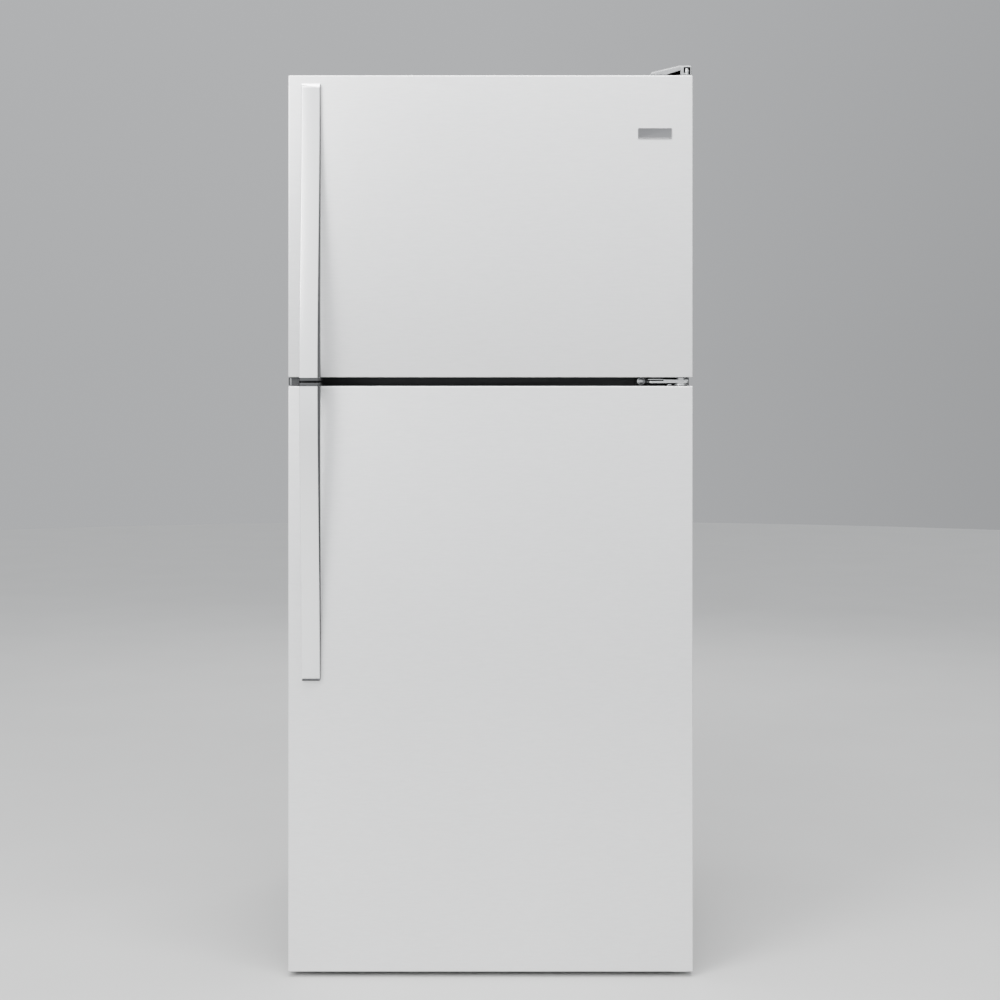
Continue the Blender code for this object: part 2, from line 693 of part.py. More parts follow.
def evaporator():
    """Finned coil behind a vented cover at the back of the freezer, with the fan that circulates its air."""
    inside_x = CAVITY_X - 0.020
    level = (EVAPORATOR_COVER_Y + CAVITY_BACK) / 2 + 0.006
    points = serpentine(6, (-0.230, FREEZER_FLOOR + 0.040), (0.230, FREEZER_FLOOR + 0.220), level, "XZ")
    fins = blocks(*[
        (
            (x - 0.0006, level - 0.020, FREEZER_FLOOR + 0.025),
            (x + 0.0006, level + 0.020, FREEZER_FLOOR + 0.235),
        )
        for x in (-0.180, -0.060, 0.060, 0.180)
    ])
    make("evaporator_coil", "aluminium_fin", [tube(points, 0.004), fins])
    hub = (0.0, FREEZER_FLOOR + 0.340)
    ring = 0.056
    cover = joined(
        [blocks((
            (-CAVITY_X + FIT, EVAPORATOR_COVER_Y, FREEZER_FLOOR + FIT),
            (CAVITY_X - FIT, EVAPORATOR_COVER_Y + PLASTIC_WALL, FREEZER_CEILING - FIT),
        ))],
        [
            rods(((hub[0], 0, hub[1]), (hub[0], 1, hub[1]), ring), sides=32),
            blocks(*[
                ((x, 0, FREEZER_FLOOR + 0.030), (x + 0.050, 1, FREEZER_FLOOR + 0.038))
                for x in (-inside_x + 0.020, -inside_x + 0.100, inside_x - 0.150, inside_x - 0.070)
            ]),
        ],
    )
    motor_y = EVAPORATOR_COVER_Y + 0.028
    motor = rods(((hub[0], motor_y, hub[1]), (hub[0], motor_y + 0.030, hub[1]), 0.018))
    spindle = rods(
        ((hub[0], EVAPORATOR_COVER_Y + 0.004, hub[1]), (hub[0], motor_y + 0.010, hub[1]), AXLE_RADIUS),
        sides=16,
    )
    strut = blocks(
        ((hub[0] - 0.006, motor_y + 0.004, hub[1]), (hub[0] + 0.006, motor_y + 0.010, hub[1] + ring + 0.012)),
    )
    post = blocks((
        (hub[0] - 0.006, EVAPORATOR_COVER_Y + SHEET, hub[1] + ring + 0.004),
        (hub[0] + 0.006, motor_y + 0.009, hub[1] + ring + 0.012),
    ))
    make("evaporator_cover", "white_plastic", [cover, post, strut, motor, spindle])
    fan("evaporator_fan", (hub[0], EVAPORATOR_COVER_Y + 0.014, hub[1]), "Y", ring - 0.004)


def tray(low, high, wall, grip=None):
    """An open-topped box."""
    inside = (
        (low[0] + wall, low[1] + wall, low[2] + wall),
        (high[0] - wall, high[1] - wall, high[2] + 1),
    )
    shape = joined([blocks((low, high))], [blocks(inside)])
    return [shape, grip] if grip else [shape]


def shelves():
    """Framed glass shelves in the fridge, the cover over the drawers, and the freezer shelf."""
    side = CAVITY_X - SHELF_SIDE_GAP
    back = CAVITY_BACK - 0.030
    for label, level in (("upper", UPPER_SHELF_Z), ("lower", LOWER_SHELF_Z)):
        low = (-side, SHELF_FRONT, level)
        high = (side, back, level + SHELF_RIM)
        glass_z = level + SHELF_RIM - GLASS_THICKNESS - FIT
        inner = SHELF_FRAME
        ledge = 0.008
        make(
            f"{label}_shelf_frame", "white_plastic", [blocks((low, high))],
            [
                blocks((
                    (low[0] + inner, low[1] + inner, level - 1),
                    (high[0] - inner, high[1] - inner, level + 1),
                )),
                blocks((
                    (low[0] + inner - ledge, low[1] + inner - ledge, glass_z - FIT),
                    (high[0] - inner + ledge, high[1] - inner + ledge, level + 1),
                )),
            ],
        )
        make(
            f"{label}_shelf_glass", "shelf_glass",
            [soft_block(
                (low[0] + inner - ledge + FIT, low[1] + inner - ledge + FIT, glass_z),
                (high[0] - inner + ledge - FIT, high[1] - inner + ledge - FIT, glass_z + GLASS_THICKNESS),
                0.003, "Z",
            )],
        )
    lip_x = CAVITY_X - LEDGE_WIDTH - 0.002
    make(
        "crisper_cover", "clear_plastic",
        [
            blocks(((-side, SHELF_FRONT, CRISPER_COVER_Z), (side, back, CRISPER_COVER_Z + 0.004))),
            blocks((
                (-lip_x, SHELF_FRONT, CRISPER_COVER_Z - 0.006),
                (lip_x, SHELF_FRONT + 0.004, CRISPER_COVER_Z + 0.010),
            )),
        ],
    )
    rods_low = SHELF_FRONT + 0.010
    rods_high = EVAPORATOR_COVER_Y - 0.030
    count = 22
    wires = [
        (
            (-side + 0.008, rods_low + (rods_high - rods_low) * step / (count - 1), FREEZER_SHELF_Z + 0.0075),
            (side - 0.008, rods_low + (rods_high - rods_low) * step / (count - 1), FREEZER_SHELF_Z + 0.0075),
            0.0018,
        )
        for step in range(1, count - 1)
    ]
    rim = joined(
        [blocks(((-side, SHELF_FRONT, FREEZER_SHELF_Z), (side, rods_high + 0.010, FREEZER_SHELF_Z + 0.010)))],
        [blocks((
            (-side + 0.012, SHELF_FRONT + 0.012, FREEZER_SHELF_Z - 1),
            (side - 0.012, rods_high - 0.002, FREEZER_SHELF_Z + 1),
        ))],
    )
    make("freezer_shelf", "white_plastic", [rim, rods(*wires, sides=6)])


def crisper_drawers():
    """Two clear drawers side by side, each with a finger lip along the top of its front."""
    low_y = SHELF_FRONT + 0.006
    high_y = HUMP_FRONT - 0.006
    low_z = FRIDGE_FLOOR + FIT
    high_z = CRISPER_COVER_Z - DRAWER_TOP_GAP
    outer = CAVITY_X - LEDGE_WIDTH - 0.006
    for side, label in ((-1, "left"), (1, "right")):
        ends = sorted((side * outer, side * DRAWER_MIDDLE_GAP / 2))
        lip = blocks((
            (ends[0] + 0.020, low_y - 0.014, high_z - 0.024),
            (ends[1] - 0.020, low_y + DRAWER_WALL / 2, high_z - 0.020),
        ))
        body = tray((ends[0], low_y, low_z), (ends[1], high_y, high_z), DRAWER_WALL, lip)
        centre = ((ends[0] + ends[1]) / 2, low_y, low_z)
        make(f"{label}_crisper_drawer", "clear_plastic", body, pivot=centre)


def controls():
    """Control housing under the fridge ceiling with its two knobs, the lamp cover and the door switch."""
    width, depth, height = CONTROL_SIZE
    front = FRONT + CONTROL_SETBACK
    top = FRIDGE_CEILING - FIT
    shell = joined(
        [soft_block((-width / 2, front, top - height), (width / 2, front + depth, top), 0.008, "Z")],
        [blocks((
            (-width / 2 + PLASTIC_WALL, front + PLASTIC_WALL, top - height + PLASTIC_WALL),
            (width / 2 - PLASTIC_WALL, front + depth - PLASTIC_WALL, top + 1),
        ))],
    )
    make("control_housing", "white_plastic", [shell])
    for x, label in ((-0.085, "fridge"), (0.085, "freezer")):
        z = top - height / 2
        knob_back = front - FIT
        dial = rods(((x, knob_back - 0.006, z), (x, knob_back, z), KNOB_RADIUS), sides=32)
        grip = blocks((
            (x - 0.0035, knob_back - KNOB_DEPTH, z - KNOB_RADIUS * 0.9),
            (x + 0.0035, knob_back - 0.003, z + KNOB_RADIUS * 0.9),
        ))
        make(f"{label}_temperature_knob", "grey_plastic", [dial, grip], pivot=(x, knob_back, z), smooth=True)
    lamp_low = front + depth + 2 * FIT
    lamp = joined(
        [soft_block((-0.070, lamp_low, top - height), (0.070, lamp_low + LAMP_DEPTH, top), 0.015, "Z", 3)],
        [soft_block(
            (-0.070 + PLASTIC_WALL, lamp_low + PLASTIC_WALL, top - height + PLASTIC_WALL),
            (0.070 - PLASTIC_WALL, lamp_low + LAMP_DEPTH - PLASTIC_WALL, top + 1), 0.0125, "Z", 3,
        )],
    )
    make("lamp_cover", "clear_plastic", [lamp])
    x, z = switch_place()
    tip = DOOR_BACK + FIT
    make("light_switch_plunger", "white_plastic",
         [rods(((x, tip, z), (x, FRONT + SWITCH_LENGTH - 0.010, z), SWITCH_RADIUS))],
         pivot=(x, tip, z), smooth=True)


def bin_box(bottom, height, depth=BIN_DEPTH):
    return (-BIN_X, DOOR_BACK + FIT, bottom), (BIN_X, DOOR_BACK + depth, bottom + height)


def door_pivot(label, low_z):
    holder = bpy.data.objects.new(f"{label}_door_axis", None)
    holder.location = (AXIS_X, AXIS_Y, low_z)
    bpy.context.scene.collection.objects.link(holder)
    return holder


def door(label, low_z, high_z, cavity_low, cavity_high, gasket_low, gasket_high):
    """One insulated door: steel skin, foam, end caps, moulded liner and magnetic gasket."""
    pivot = (AXIS_X, AXIS_Y, low_z)
    holder = door_pivot(label, low_z)
    back = DOOR_BACK - LINER_WALL - FIT

    def piece(name, finish, solids, cuts=(), **more):
        return make(f"{label}_door_{name}", finish, solids, cuts, pivot=pivot, holder=holder, **more)

    cap_front = DOOR_FRONT + CAP_SETBACK
    inner_x = HALF - SHEET
    piece(
        "skin", "stainless",
        [soft_block((-HALF, DOOR_FRONT, low_z), (HALF, back, high_z), 0.003, "Z", 3)],
        [
            blocks(((-inner_x, DOOR_FRONT + SHEET, low_z + SHEET), (inner_x, back + 1, high_z - SHEET))),
            blocks(((-inner_x, cap_front - 2 * FIT, low_z - 1), (inner_x, back + 1, high_z + 1))),
        ],
    )
    pins = {
        "bottom_cap": (low_z, low_z + CAP_HEIGHT),
        "top_cap": (high_z - CAP_HEIGHT, high_z),
    }
    for name, (bottom, top) in pins.items():
        bore = rods(
            ((AXIS_X, AXIS_Y, bottom - 0.01), (AXIS_X, AXIS_Y, top + 0.01), HINGE_PIN_RADIUS + PIN_CLEARANCE)
        )
        low = (-INNER_X, cap_front, bottom)
        high = (INNER_X, back, top)
        piece(name, "grey_plastic", [blocks((low, high))], [bore])
    piece(
        "foam", "foam",
        [blocks((
            (-INNER_X, DOOR_FRONT + SHEET + FIT, low_z + CAP_HEIGHT + FIT),
            (INNER_X, back - FIT, high_z - CAP_HEIGHT - FIT),
        ))],
    )
    dike_low = (-DIKE_X, DOOR_BACK - LINER_WALL, cavity_low + DIKE_CLEARANCE)
    dike_high = (DIKE_X, DOOR_BACK + DIKE_DEPTH, cavity_high - DIKE_CLEARANCE)
    inset = DIKE_WIDTH
    ring = joined(
        [blocks((dike_low, dike_high))],
        [blocks((
            (dike_low[0] + inset, DOOR_BACK, dike_low[2] + inset),
            (dike_high[0] - inset, 1, dike_high[2] - inset),
        ))],
    )
    wall = LINER_WALL
    groove = joined(
        [blocks((
            (dike_low[0] + wall, DOOR_BACK - 1, dike_low[2] + wall),
            (dike_high[0] - wall, DOOR_BACK + DIKE_DEPTH - wall, dike_high[2] - wall),
        ))],
        [blocks((
            (dike_low[0] + inset - wall, DOOR_BACK - 2, dike_low[2] + inset - wall),
            (dike_high[0] - inset + wall, 1, dike_high[2] - inset + wall),
        ))],
    )
    edge = HALF - 2 * FIT
    plate = blocks(((-edge, DOOR_BACK - LINER_WALL, low_z), (edge, DOOR_BACK, high_z)))
    piece("liner", "white_plastic", [plate, ring], [groove])
    gasket_x = HALF - GASKET_INSET
    piece(
        "gasket", "gasket_vinyl",
        [blocks(((-gasket_x, DOOR_BACK + FIT, gasket_low[0]), (gasket_x, FRONT - FIT, gasket_high[1])))],
        [blocks((
            (-gasket_x + GASKET_WIDTH, DOOR_BACK - 1, gasket_low[1]),
            (gasket_x - GASKET_WIDTH, FRONT + 1, gasket_high[0]),
        ))],
    )
    return holder, pivot


def handle_outline(low_z, high_z, foot_at_bottom):
    """Side view of a handle, as points of Y and Z: flush at its outer end, bowed out at its foot."""
    def height(share):
        span = high_z - low_z
        return high_z - span * share if foot_at_bottom else low_z + span * share

    front, rear = [], []
    for step in range(HANDLE_STEPS + 1):
        share = step / HANDLE_STEPS
        rise = share * share * (3 - 2 * share)
        reach = HANDLE_STRAP + FIT + (HANDLE_REACH - HANDLE_STRAP - FIT) * rise
        front.append((DOOR_FRONT - reach, height(share)))
        rear.append((DOOR_FRONT - reach + HANDLE_STRAP, height(share)))
    toe = HANDLE_FOOT if foot_at_bottom else -HANDLE_FOOT
    foot_z = low_z if foot_at_bottom else high_z
    clear_z = foot_z + toe
    rear[-1] = (rear[-1][0], clear_z)
    foot = [(DOOR_FRONT + HANDLE_FOOT_DEPTH, foot_z), (DOOR_FRONT + HANDLE_FOOT_DEPTH, clear_z)]
    return front + foot + rear[::-1]


def handle(label, low_z, high_z, foot_at_bottom, holder, pivot):
    outline = handle_outline(low_z, high_z, foot_at_bottom)
    low_x = -HALF + HANDLE_INSET_X
    make(f"{label}_door_handle", "handle_steel", [prism(outline, "X", low_x, low_x + HANDLE_WIDTH)],
         pivot=pivot, holder=holder)


def doors():
    """Both doors with their handles, bins and trim."""
    holder, pivot = door(
        "freezer", FREEZER_DOOR_BOTTOM, FREEZER_DOOR_TOP, FREEZER_FLOOR, FREEZER_CEILING,
        (
            FREEZER_DOOR_BOTTOM + GASKET_MULLION_INSET,
            FREEZER_DOOR_BOTTOM + GASKET_MULLION_INSET + GASKET_MULLION_WIDTH,
        ),
        (FREEZER_DOOR_TOP - GASKET_TOP_INSET - GASKET_WIDTH, FREEZER_DOOR_TOP - GASKET_TOP_INSET),
    )
    foot_z = FREEZER_DOOR_BOTTOM - FIT - HANDLE_FOOT
    handle("freezer", foot_z, FREEZER_DOOR_TOP - HANDLE_END_INSET, True, holder, pivot)
    x = HALF - BADGE_INSET[0]
    z = FREEZER_DOOR_TOP - BADGE_INSET[1]
    make("badge_plate", "silver_plastic",
         [soft_block(
             (x - BADGE_SIZE[0], DOOR_FRONT - FIT - BADGE_THICKNESS, z - BADGE_SIZE[1]),
             (x, DOOR_FRONT - FIT, z), 0.002, "Y",
         )],
         pivot=pivot, holder=holder)
    x, y = -HALF + PLUG_INSET, DOOR_FRONT + PLUG_SETBACK
    make("hinge_hole_plug", "grey_plastic",
         [soft_block(
             (x, y, FRIDGE_DOOR_TOP + PLUG_GAP),
             (x + PLUG_WIDTH, y + PLUG_DEPTH, FREEZER_DOOR_BOTTOM - FIT), 0.002, "Y",
         )],
         pivot=pivot, holder=holder)
    bin_low, bin_high = bin_box(FREEZER_FLOOR + BIN_RISE, FREEZER_BIN_HEIGHT)
    make("freezer_door_bin", "white_plastic", tray(bin_low, bin_high, BIN_WALL), pivot=pivot, holder=holder)

    holder, pivot = door(
        "fridge", DOOR_FLOOR_GAP, FRIDGE_DOOR_TOP, FRIDGE_FLOOR, FRIDGE_CEILING,
        (
            DOOR_FLOOR_GAP + GASKET_BOTTOM_INSET,
            DOOR_FLOOR_GAP + GASKET_BOTTOM_INSET + GASKET_WIDTH,
        ),
        (
            FRIDGE_DOOR_TOP - GASKET_MULLION_INSET - GASKET_MULLION_WIDTH,
            FRIDGE_DOOR_TOP - GASKET_MULLION_INSET,
        ),
    )
    foot_z = FRIDGE_DOOR_TOP + FIT + HANDLE_FOOT
    handle("fridge", foot_z - HANDLE_FOOT - HANDLE_LENGTH_BELOW, foot_z, False, holder, pivot)
    for label, bottom in (("lower", FRIDGE_FLOOR + BIN_RISE), ("upper", LOWER_SHELF_Z + UPPER_BIN_RISE)):
        bin_low, bin_high = bin_box(bottom, FRIDGE_BIN_HEIGHT)
        make(f"{label}_door_bin", "clear_plastic", tray(bin_low, bin_high, BIN_WALL),
             pivot=pivot, holder=holder)
    dairy_compartment(holder, pivot)


def dairy_compartment(holder, pivot):
    """A covered box at the top of the fridge door, closed by a lid that lifts up on its top edge."""
    top = FRIDGE_CEILING - DIKE_CLEARANCE - DIKE_WIDTH - 0.004
    low = (-BIN_X, DOOR_BACK + FIT, top - DAIRY_HEIGHT)
    high = (BIN_X, DOOR_BACK + DAIRY_DEPTH, top)
    wall = BIN_WALL
    inside = (
        (low[0] + wall, low[1] + wall, low[2] + wall),
        (high[0] - wall, high[1] + 1, high[2] - wall),
    )
    make("dairy_compartment", "clear_plastic", [blocks((low, high))], [blocks(inside)],
         pivot=pivot, holder=holder)
    axis_y = high[1] + LID_THICKNESS
    axis_z = top - 0.001
    lid = blocks((
        (low[0] + 0.002, axis_y - LID_THICKNESS / 2, low[2] + 0.001),
        (high[0] - 0.002, axis_y + LID_THICKNESS / 2, axis_z),
    ))
    hinge_holder = bpy.data.objects.new("dairy_lid_axis", None)
    hinge_holder.parent = holder
    hinge_holder.location = Vector((0, axis_y, axis_z)) - Vector(pivot)
    bpy.context.scene.collection.objects.link(hinge_holder)
    make("dairy_lid", "clear_plastic", [lid], pivot=(0, axis_y, axis_z), holder=hinge_holder)


def bolt_place():
    return HALF - BOLT_INSET_X, GAP_MIDDLE


def bolt_hole():
    """Clearance for the screw that holds the middle hinge."""
    x, z = bolt_place()
    return rods(((x, FRONT - 0.02, z), (x, FRONT + BOLT_LENGTH + 0.002, z), BOLT_SHANK_RADIUS + PIN_CLEARANCE),
                sides=12)


def middle_hinge():
    """A plate between the doors with a pin each way, spacers, and a flange screwed to the rail."""
    flange_back = FRONT - FIT
    flange_front = flange_back - HINGE_PLATE
    low_z, high_z = GAP_MIDDLE - HINGE_PLATE / 2, GAP_MIDDLE + HINGE_PLATE / 2
    spacer = 0.010
    make(
        "middle_hinge", "zinc_steel",
        [
            blocks((
                (HALF - MIDDLE_PLATE_WIDTH - 0.006, AXIS_Y - 0.013, low_z), (HALF - 0.006, flange_back, high_z),
            )),
            blocks((
                (HALF - BOLT_INSET_X - 0.010, flange_front, FRIDGE_DOOR_TOP + 0.001),
                (HALF - 0.010, flange_back, FREEZER_DOOR_BOTTOM - 0.001),
            )),
            rods((
                (AXIS_X, AXIS_Y, FRIDGE_DOOR_TOP + 2 * FIT),
                (AXIS_X, AXIS_Y, FREEZER_DOOR_BOTTOM - 2 * FIT),
                spacer,
            )),
            rods((
                (AXIS_X, AXIS_Y, FRIDGE_DOOR_TOP - HINGE_PIN_LENGTH),
                (AXIS_X, AXIS_Y, FREEZER_DOOR_BOTTOM + HINGE_PIN_LENGTH),
                HINGE_PIN_RADIUS,
            )),
        ],
        [bolt_hole()],
    )
    x, z = bolt_place()
    head_back = flange_front - FIT
    make(
        "middle_hinge_screw", "zinc_steel",
        [
            rods(((x, head_back - BOLT_HEAD, z), (x, head_back, z), BOLT_HEX_RADIUS), sides=6),
            rods(((x, head_back - BOLT_HEAD / 2, z), (x, FRONT + BOLT_LENGTH, z), BOLT_SHANK_RADIUS), sides=12),
        ],
    )


def outer_hinges():
    """The plate and pin over the freezer door with its cover, and the bracket and pin under the fridge door."""
    plate_z = CABINET_TOP + FIT
    make(
        "top_hinge", "zinc_steel",
        [
            soft_block(
                (AXIS_X - 0.038, AXIS_Y - 0.013, plate_z),
                (AXIS_X + 0.013, FRONT + 0.062, plate_z + HINGE_PLATE),
                0.008, "Z",
            ),
            rods((
                (AXIS_X, AXIS_Y, FREEZER_DOOR_TOP - HINGE_PIN_LENGTH),
                (AXIS_X, AXIS_Y, plate_z + HINGE_PLATE / 2),
                HINGE_PIN_RADIUS,
            )),
        ],
    )
    base = CABINET_TOP + FIT
    top = base + HINGE_COVER_HEIGHT
    left, right = HALF - 0.001 - HINGE_COVER_WIDTH, HALF - 0.001
    front_y, back_y = AXIS_Y - 0.018, FRONT + HINGE_COVER_BACK
    slope_end = right - 0.022
    rise = 0.004
    outer = prism(
        [(left, base), (right, base), (right, top - 0.004), (right - 0.004, top), (slope_end, top),
         (left, base + rise)],
        "Y", front_y, back_y,
    )
    wall = 0.002
    inner = prism(
        [(left + 3 * wall, base - 1), (right - wall, base - 1), (right - wall, top - 0.004 - wall),
         (right - 0.004 - wall, top - wall), (slope_end, top - wall),
         (left + 3 * wall, base + rise - wall / 2)],
        "Y", front_y + wall, back_y - wall,
    )
    mouth = blocks((
        (slope_end - 0.030, front_y - 1, base - 1),
        (slope_end - 0.002, front_y + 2 * wall, base + 0.008),
    ))
    make("top_hinge_cover", "silver_plastic", [outer], [inner, mouth])
    low_z = DOOR_FLOOR_GAP - 0.0025 - HINGE_PLATE
    flange_back = FRONT - FIT
    make(
        "bottom_hinge", "zinc_steel",
        [
            blocks((
                (AXIS_X - 0.016, AXIS_Y - 0.013, low_z),
                (AXIS_X + 0.013, flange_back, low_z + HINGE_PLATE),
            )),
            blocks((
                (HALF - 0.039, flange_back - HINGE_PLATE, low_z),
                (HALF - 0.004, flange_back, FOAM_BOTTOM),
            )),
            rods((
                (AXIS_X, AXIS_Y, low_z + HINGE_PLATE / 2), (AXIS_X, AXIS_Y, DOOR_FLOOR_GAP + HINGE_PIN_LENGTH),
                HINGE_PIN_RADIUS,
            )),
        ],
    )


def build():
    clear_scene()
    cabinet_shell()
    base_pan()
    cabinet_foam()
    liners()
    base_fittings()
    machinery()
    evaporator()
    shelves()
    crisper_drawers()
    controls()
    doors()
    middle_hinge()
    outer_hinges()


build()
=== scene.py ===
import json
import math

import bmesh
import bpy
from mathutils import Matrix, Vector

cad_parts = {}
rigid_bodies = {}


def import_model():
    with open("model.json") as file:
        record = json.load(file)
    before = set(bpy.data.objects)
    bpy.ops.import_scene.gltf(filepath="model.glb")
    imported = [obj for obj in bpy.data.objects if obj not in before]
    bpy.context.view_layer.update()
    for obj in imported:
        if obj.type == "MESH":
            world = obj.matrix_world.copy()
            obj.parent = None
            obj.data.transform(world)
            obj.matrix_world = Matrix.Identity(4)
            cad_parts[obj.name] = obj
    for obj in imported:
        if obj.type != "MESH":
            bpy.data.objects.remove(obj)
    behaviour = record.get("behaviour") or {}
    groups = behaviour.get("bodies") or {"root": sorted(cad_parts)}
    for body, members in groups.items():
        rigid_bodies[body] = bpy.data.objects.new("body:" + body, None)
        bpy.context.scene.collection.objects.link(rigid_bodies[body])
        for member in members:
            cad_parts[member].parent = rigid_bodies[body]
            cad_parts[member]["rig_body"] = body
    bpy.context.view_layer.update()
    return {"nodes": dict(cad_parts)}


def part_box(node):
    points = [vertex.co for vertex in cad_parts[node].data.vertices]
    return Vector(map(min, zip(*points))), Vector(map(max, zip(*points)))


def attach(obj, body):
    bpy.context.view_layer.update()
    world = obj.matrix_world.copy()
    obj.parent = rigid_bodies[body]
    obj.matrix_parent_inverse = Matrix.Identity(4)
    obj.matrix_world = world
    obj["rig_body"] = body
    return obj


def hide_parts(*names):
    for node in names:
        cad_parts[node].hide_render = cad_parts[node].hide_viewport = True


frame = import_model()
nodes = frame["nodes"]


# ---- Room ----------------------------------------------------------------------------------
# A plain pale floor under soft studio light, with a level camera in front of the doors.
# Its aim is set by a small vertical shift, so that upright edges stay upright.


class Value:
    """A node's output, so that shader maths can be written as plain Python."""

    def __init__(self, finish, socket):
        self.finish = finish
        self.socket = socket

    def math(self, operation, *others, clamp=False):
        values = dict(enumerate((self, *others)))
        return self.finish.node("ShaderNodeMath", {"operation": operation, "use_clamp": clamp}, values)

    def __add__(self, other):
        return self.math("ADD", other)

    def __radd__(self, other):
        return self.math("ADD", other)

    def __mul__(self, other):
        return self.math("MULTIPLY", other)

    def __rmul__(self, other):
        return self.math("MULTIPLY", other)

    def clamped(self):
        return self.math("ADD", 0.0, clamp=True)


class Finish:
    """A material whose surface is worked out from the piece's own coordinates."""

    def __init__(self, name, slot=None, **constants):
        self.slot = slot
        self.material = bpy.data.materials.new(name)
        self.material.use_nodes = True
        self.tree = self.material.node_tree
        self.shader = self.tree.nodes["Principled BSDF"]
        self.place = self.node("ShaderNodeTexCoord", output="Object")
        for socket, value in constants.items():
            self.set(socket.replace("_", " "), value)

    def node(self, kind, settings=None, values=None, output=0):
        """Adds a node: its settings first, then the values or links of its sockets."""
        made = self.tree.nodes.new(kind)
        for name, value in (settings or {}).items():
            if name == "stops":
                self.fill_ramp(made.color_ramp, value)
            else:
                setattr(made, name, value)
        for name, value in (values or {}).items():
            self.join(made.inputs[name], value)
        return Value(self, made.outputs[output])

    def fill_ramp(self, ramp, stops):
        while len(ramp.elements) < len(stops):
            ramp.elements.new(0.5)
        for element, (position, colour) in zip(ramp.elements, stops):
            element.position = position
            element.color = (*colour, 1)

    def join(self, socket, value):
        if isinstance(value, Value):
            self.tree.links.new(value.socket, socket)
        elif isinstance(value, tuple) and len(value) == 3 and socket.type == "RGBA":
            socket.default_value = (*value, 1)
        else:
            socket.default_value = value

    def set(self, socket, value):
        self.join(self.shader.inputs[socket], value)

    def noise(self, scale, stretch=(1, 1, 1), detail=3.0, rough=0.5):
        """Noise from 0 to 1 with about this many grains to the metre, squeezed along each axis."""
        spread = self.node("ShaderNodeMapping", None, {"Vector": self.place, "Scale": stretch})
        return self.node(
            "ShaderNodeTexNoise", None,
            {"Vector": spread, "Scale": scale, "Detail": detail, "Roughness": rough}, "Fac",
        )

    def ramp(self, value, *stops):
        return self.node("ShaderNodeValToRGB", {"stops": stops}, {"Fac": value}, "Color")

    def blend(self, share, first, second):
        """Mixes two colours."""
        return self.node(
            "ShaderNodeMix", {"data_type": "RGBA"}, {0: share, 6: first, 7: second}, 2,
        )

    def bump(self, height, distance, strength):
        values = {"Height": height, "Distance": distance, "Strength": strength}
        return self.node("ShaderNodeBump", None, values, "Normal")


EYE_HEIGHT = 1.138
EYE_DISTANCE = 3.30
VIEW_WIDTH = 1.844
VIEW_MIDDLE = 0.880
VIEW_RIGHT = 0.0175
door_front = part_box("fridge_door_skin")[0].y

camera_data = bpy.data.cameras.new("camera")
camera_data.sensor_width = 36.0
camera_data.lens = camera_data.sensor_width * EYE_DISTANCE / VIEW_WIDTH
camera_data.shift_y = (VIEW_MIDDLE - EYE_HEIGHT) / VIEW_WIDTH
camera = bpy.data.objects.new("camera", camera_data)
camera.location = (VIEW_RIGHT, door_front - EYE_DISTANCE, EYE_HEIGHT)
camera.rotation_euler = (math.radians(90), 0, 0)
bpy.context.scene.collection.objects.link(camera)
bpy.context.scene.camera = camera

bpy.ops.mesh.primitive_circle_add(vertices=64, radius=9.0, fill_type="NGON", location=(0, 0, -0.0005))
floor = bpy.context.object
floor.name = "floor"
floor_finish = Finish("pale_floor", Roughness=0.55)
mottle = floor_finish.noise(3.0)
floor_finish.set("Base Color", floor_finish.blend(mottle, (0.60, 0.60, 0.59), (0.66, 0.66, 0.65)))
floor.data.materials.append(floor_finish.material)

world = bpy.data.worlds.new("studio")
world.use_nodes = True
sky = world.node_tree
bpy.context.scene.world = world


def sky_node(kind, operation, *values):
    """Adds a node to the studio's surround, with numbers or links in its sockets."""
    made = sky.nodes.new(kind)
    if operation:
        made.operation = operation
    for socket, value in zip(made.inputs, values):
        if isinstance(value, bpy.types.NodeSocket):
            sky.links.new(value, socket)
        else:
            socket.default_value = value
    return made.outputs


def sky_maths(operation, first, second):
    """The outcome of one sum in the studio's surround."""
    return sky_node("ShaderNodeMath", operation, first, second)[0]


BACKDROP = 0.56
FRONT_GLOW = 0.98
OVERHEAD_GLOW = 0.30
RIGHT_SHADE = 0.52
way = sky_node("ShaderNodeSeparateXYZ", None, sky_node("ShaderNodeTexCoord", None)["Generated"])
to_front = sky_maths("MAXIMUM", sky_maths("MULTIPLY", way[1], -FRONT_GLOW), 0.0)
overhead = sky_maths("MAXIMUM", sky_maths("MULTIPLY", way[2], OVERHEAD_GLOW), 0.0)
to_right = sky_maths("MAXIMUM", sky_maths("MULTIPLY", way[0], RIGHT_SHADE), 0.0)
glow = sky_maths("SUBTRACT", sky_maths("ADD", to_front, overhead), to_right)
sky.links.new(sky_maths("ADD", glow, BACKDROP), sky.nodes["Background"].inputs["Strength"])
sky.nodes["Background"].inputs["Color"].default_value = (0.95, 0.97, 1.0, 1)


def softbox(name, place, aim, size, power):
    """A large flat lamp that faces a point."""
    data = bpy.data.lights.new(name, "AREA")
    data.shape = "RECTANGLE"
    data.size, data.size_y = size
    data.energy = power
    lamp = bpy.data.objects.new(name, data)
    lamp.location = place
    lamp.rotation_euler = (Vector(aim) - Vector(place)).to_track_quat("-Z", "Y").to_euler()
    bpy.context.scene.collection.objects.link(lamp)


softbox("key_left", (-2.6, -3.4, 2.9), (0, 0, 1.0), (1.8, 2.0), 165)
softbox("fill_right", (2.8, -2.6, 1.8), (0, 0, 0.8), (1.6, 2.2), 16)
softbox("overhead", (0, -1.3, 3.1), (0, -0.35, 1.3), (2.6, 0.7), 105)
softbox("back_rim", (0.6, 3.0, 2.8), (0, 0, 1.0), (2.6, 1.6), 60)


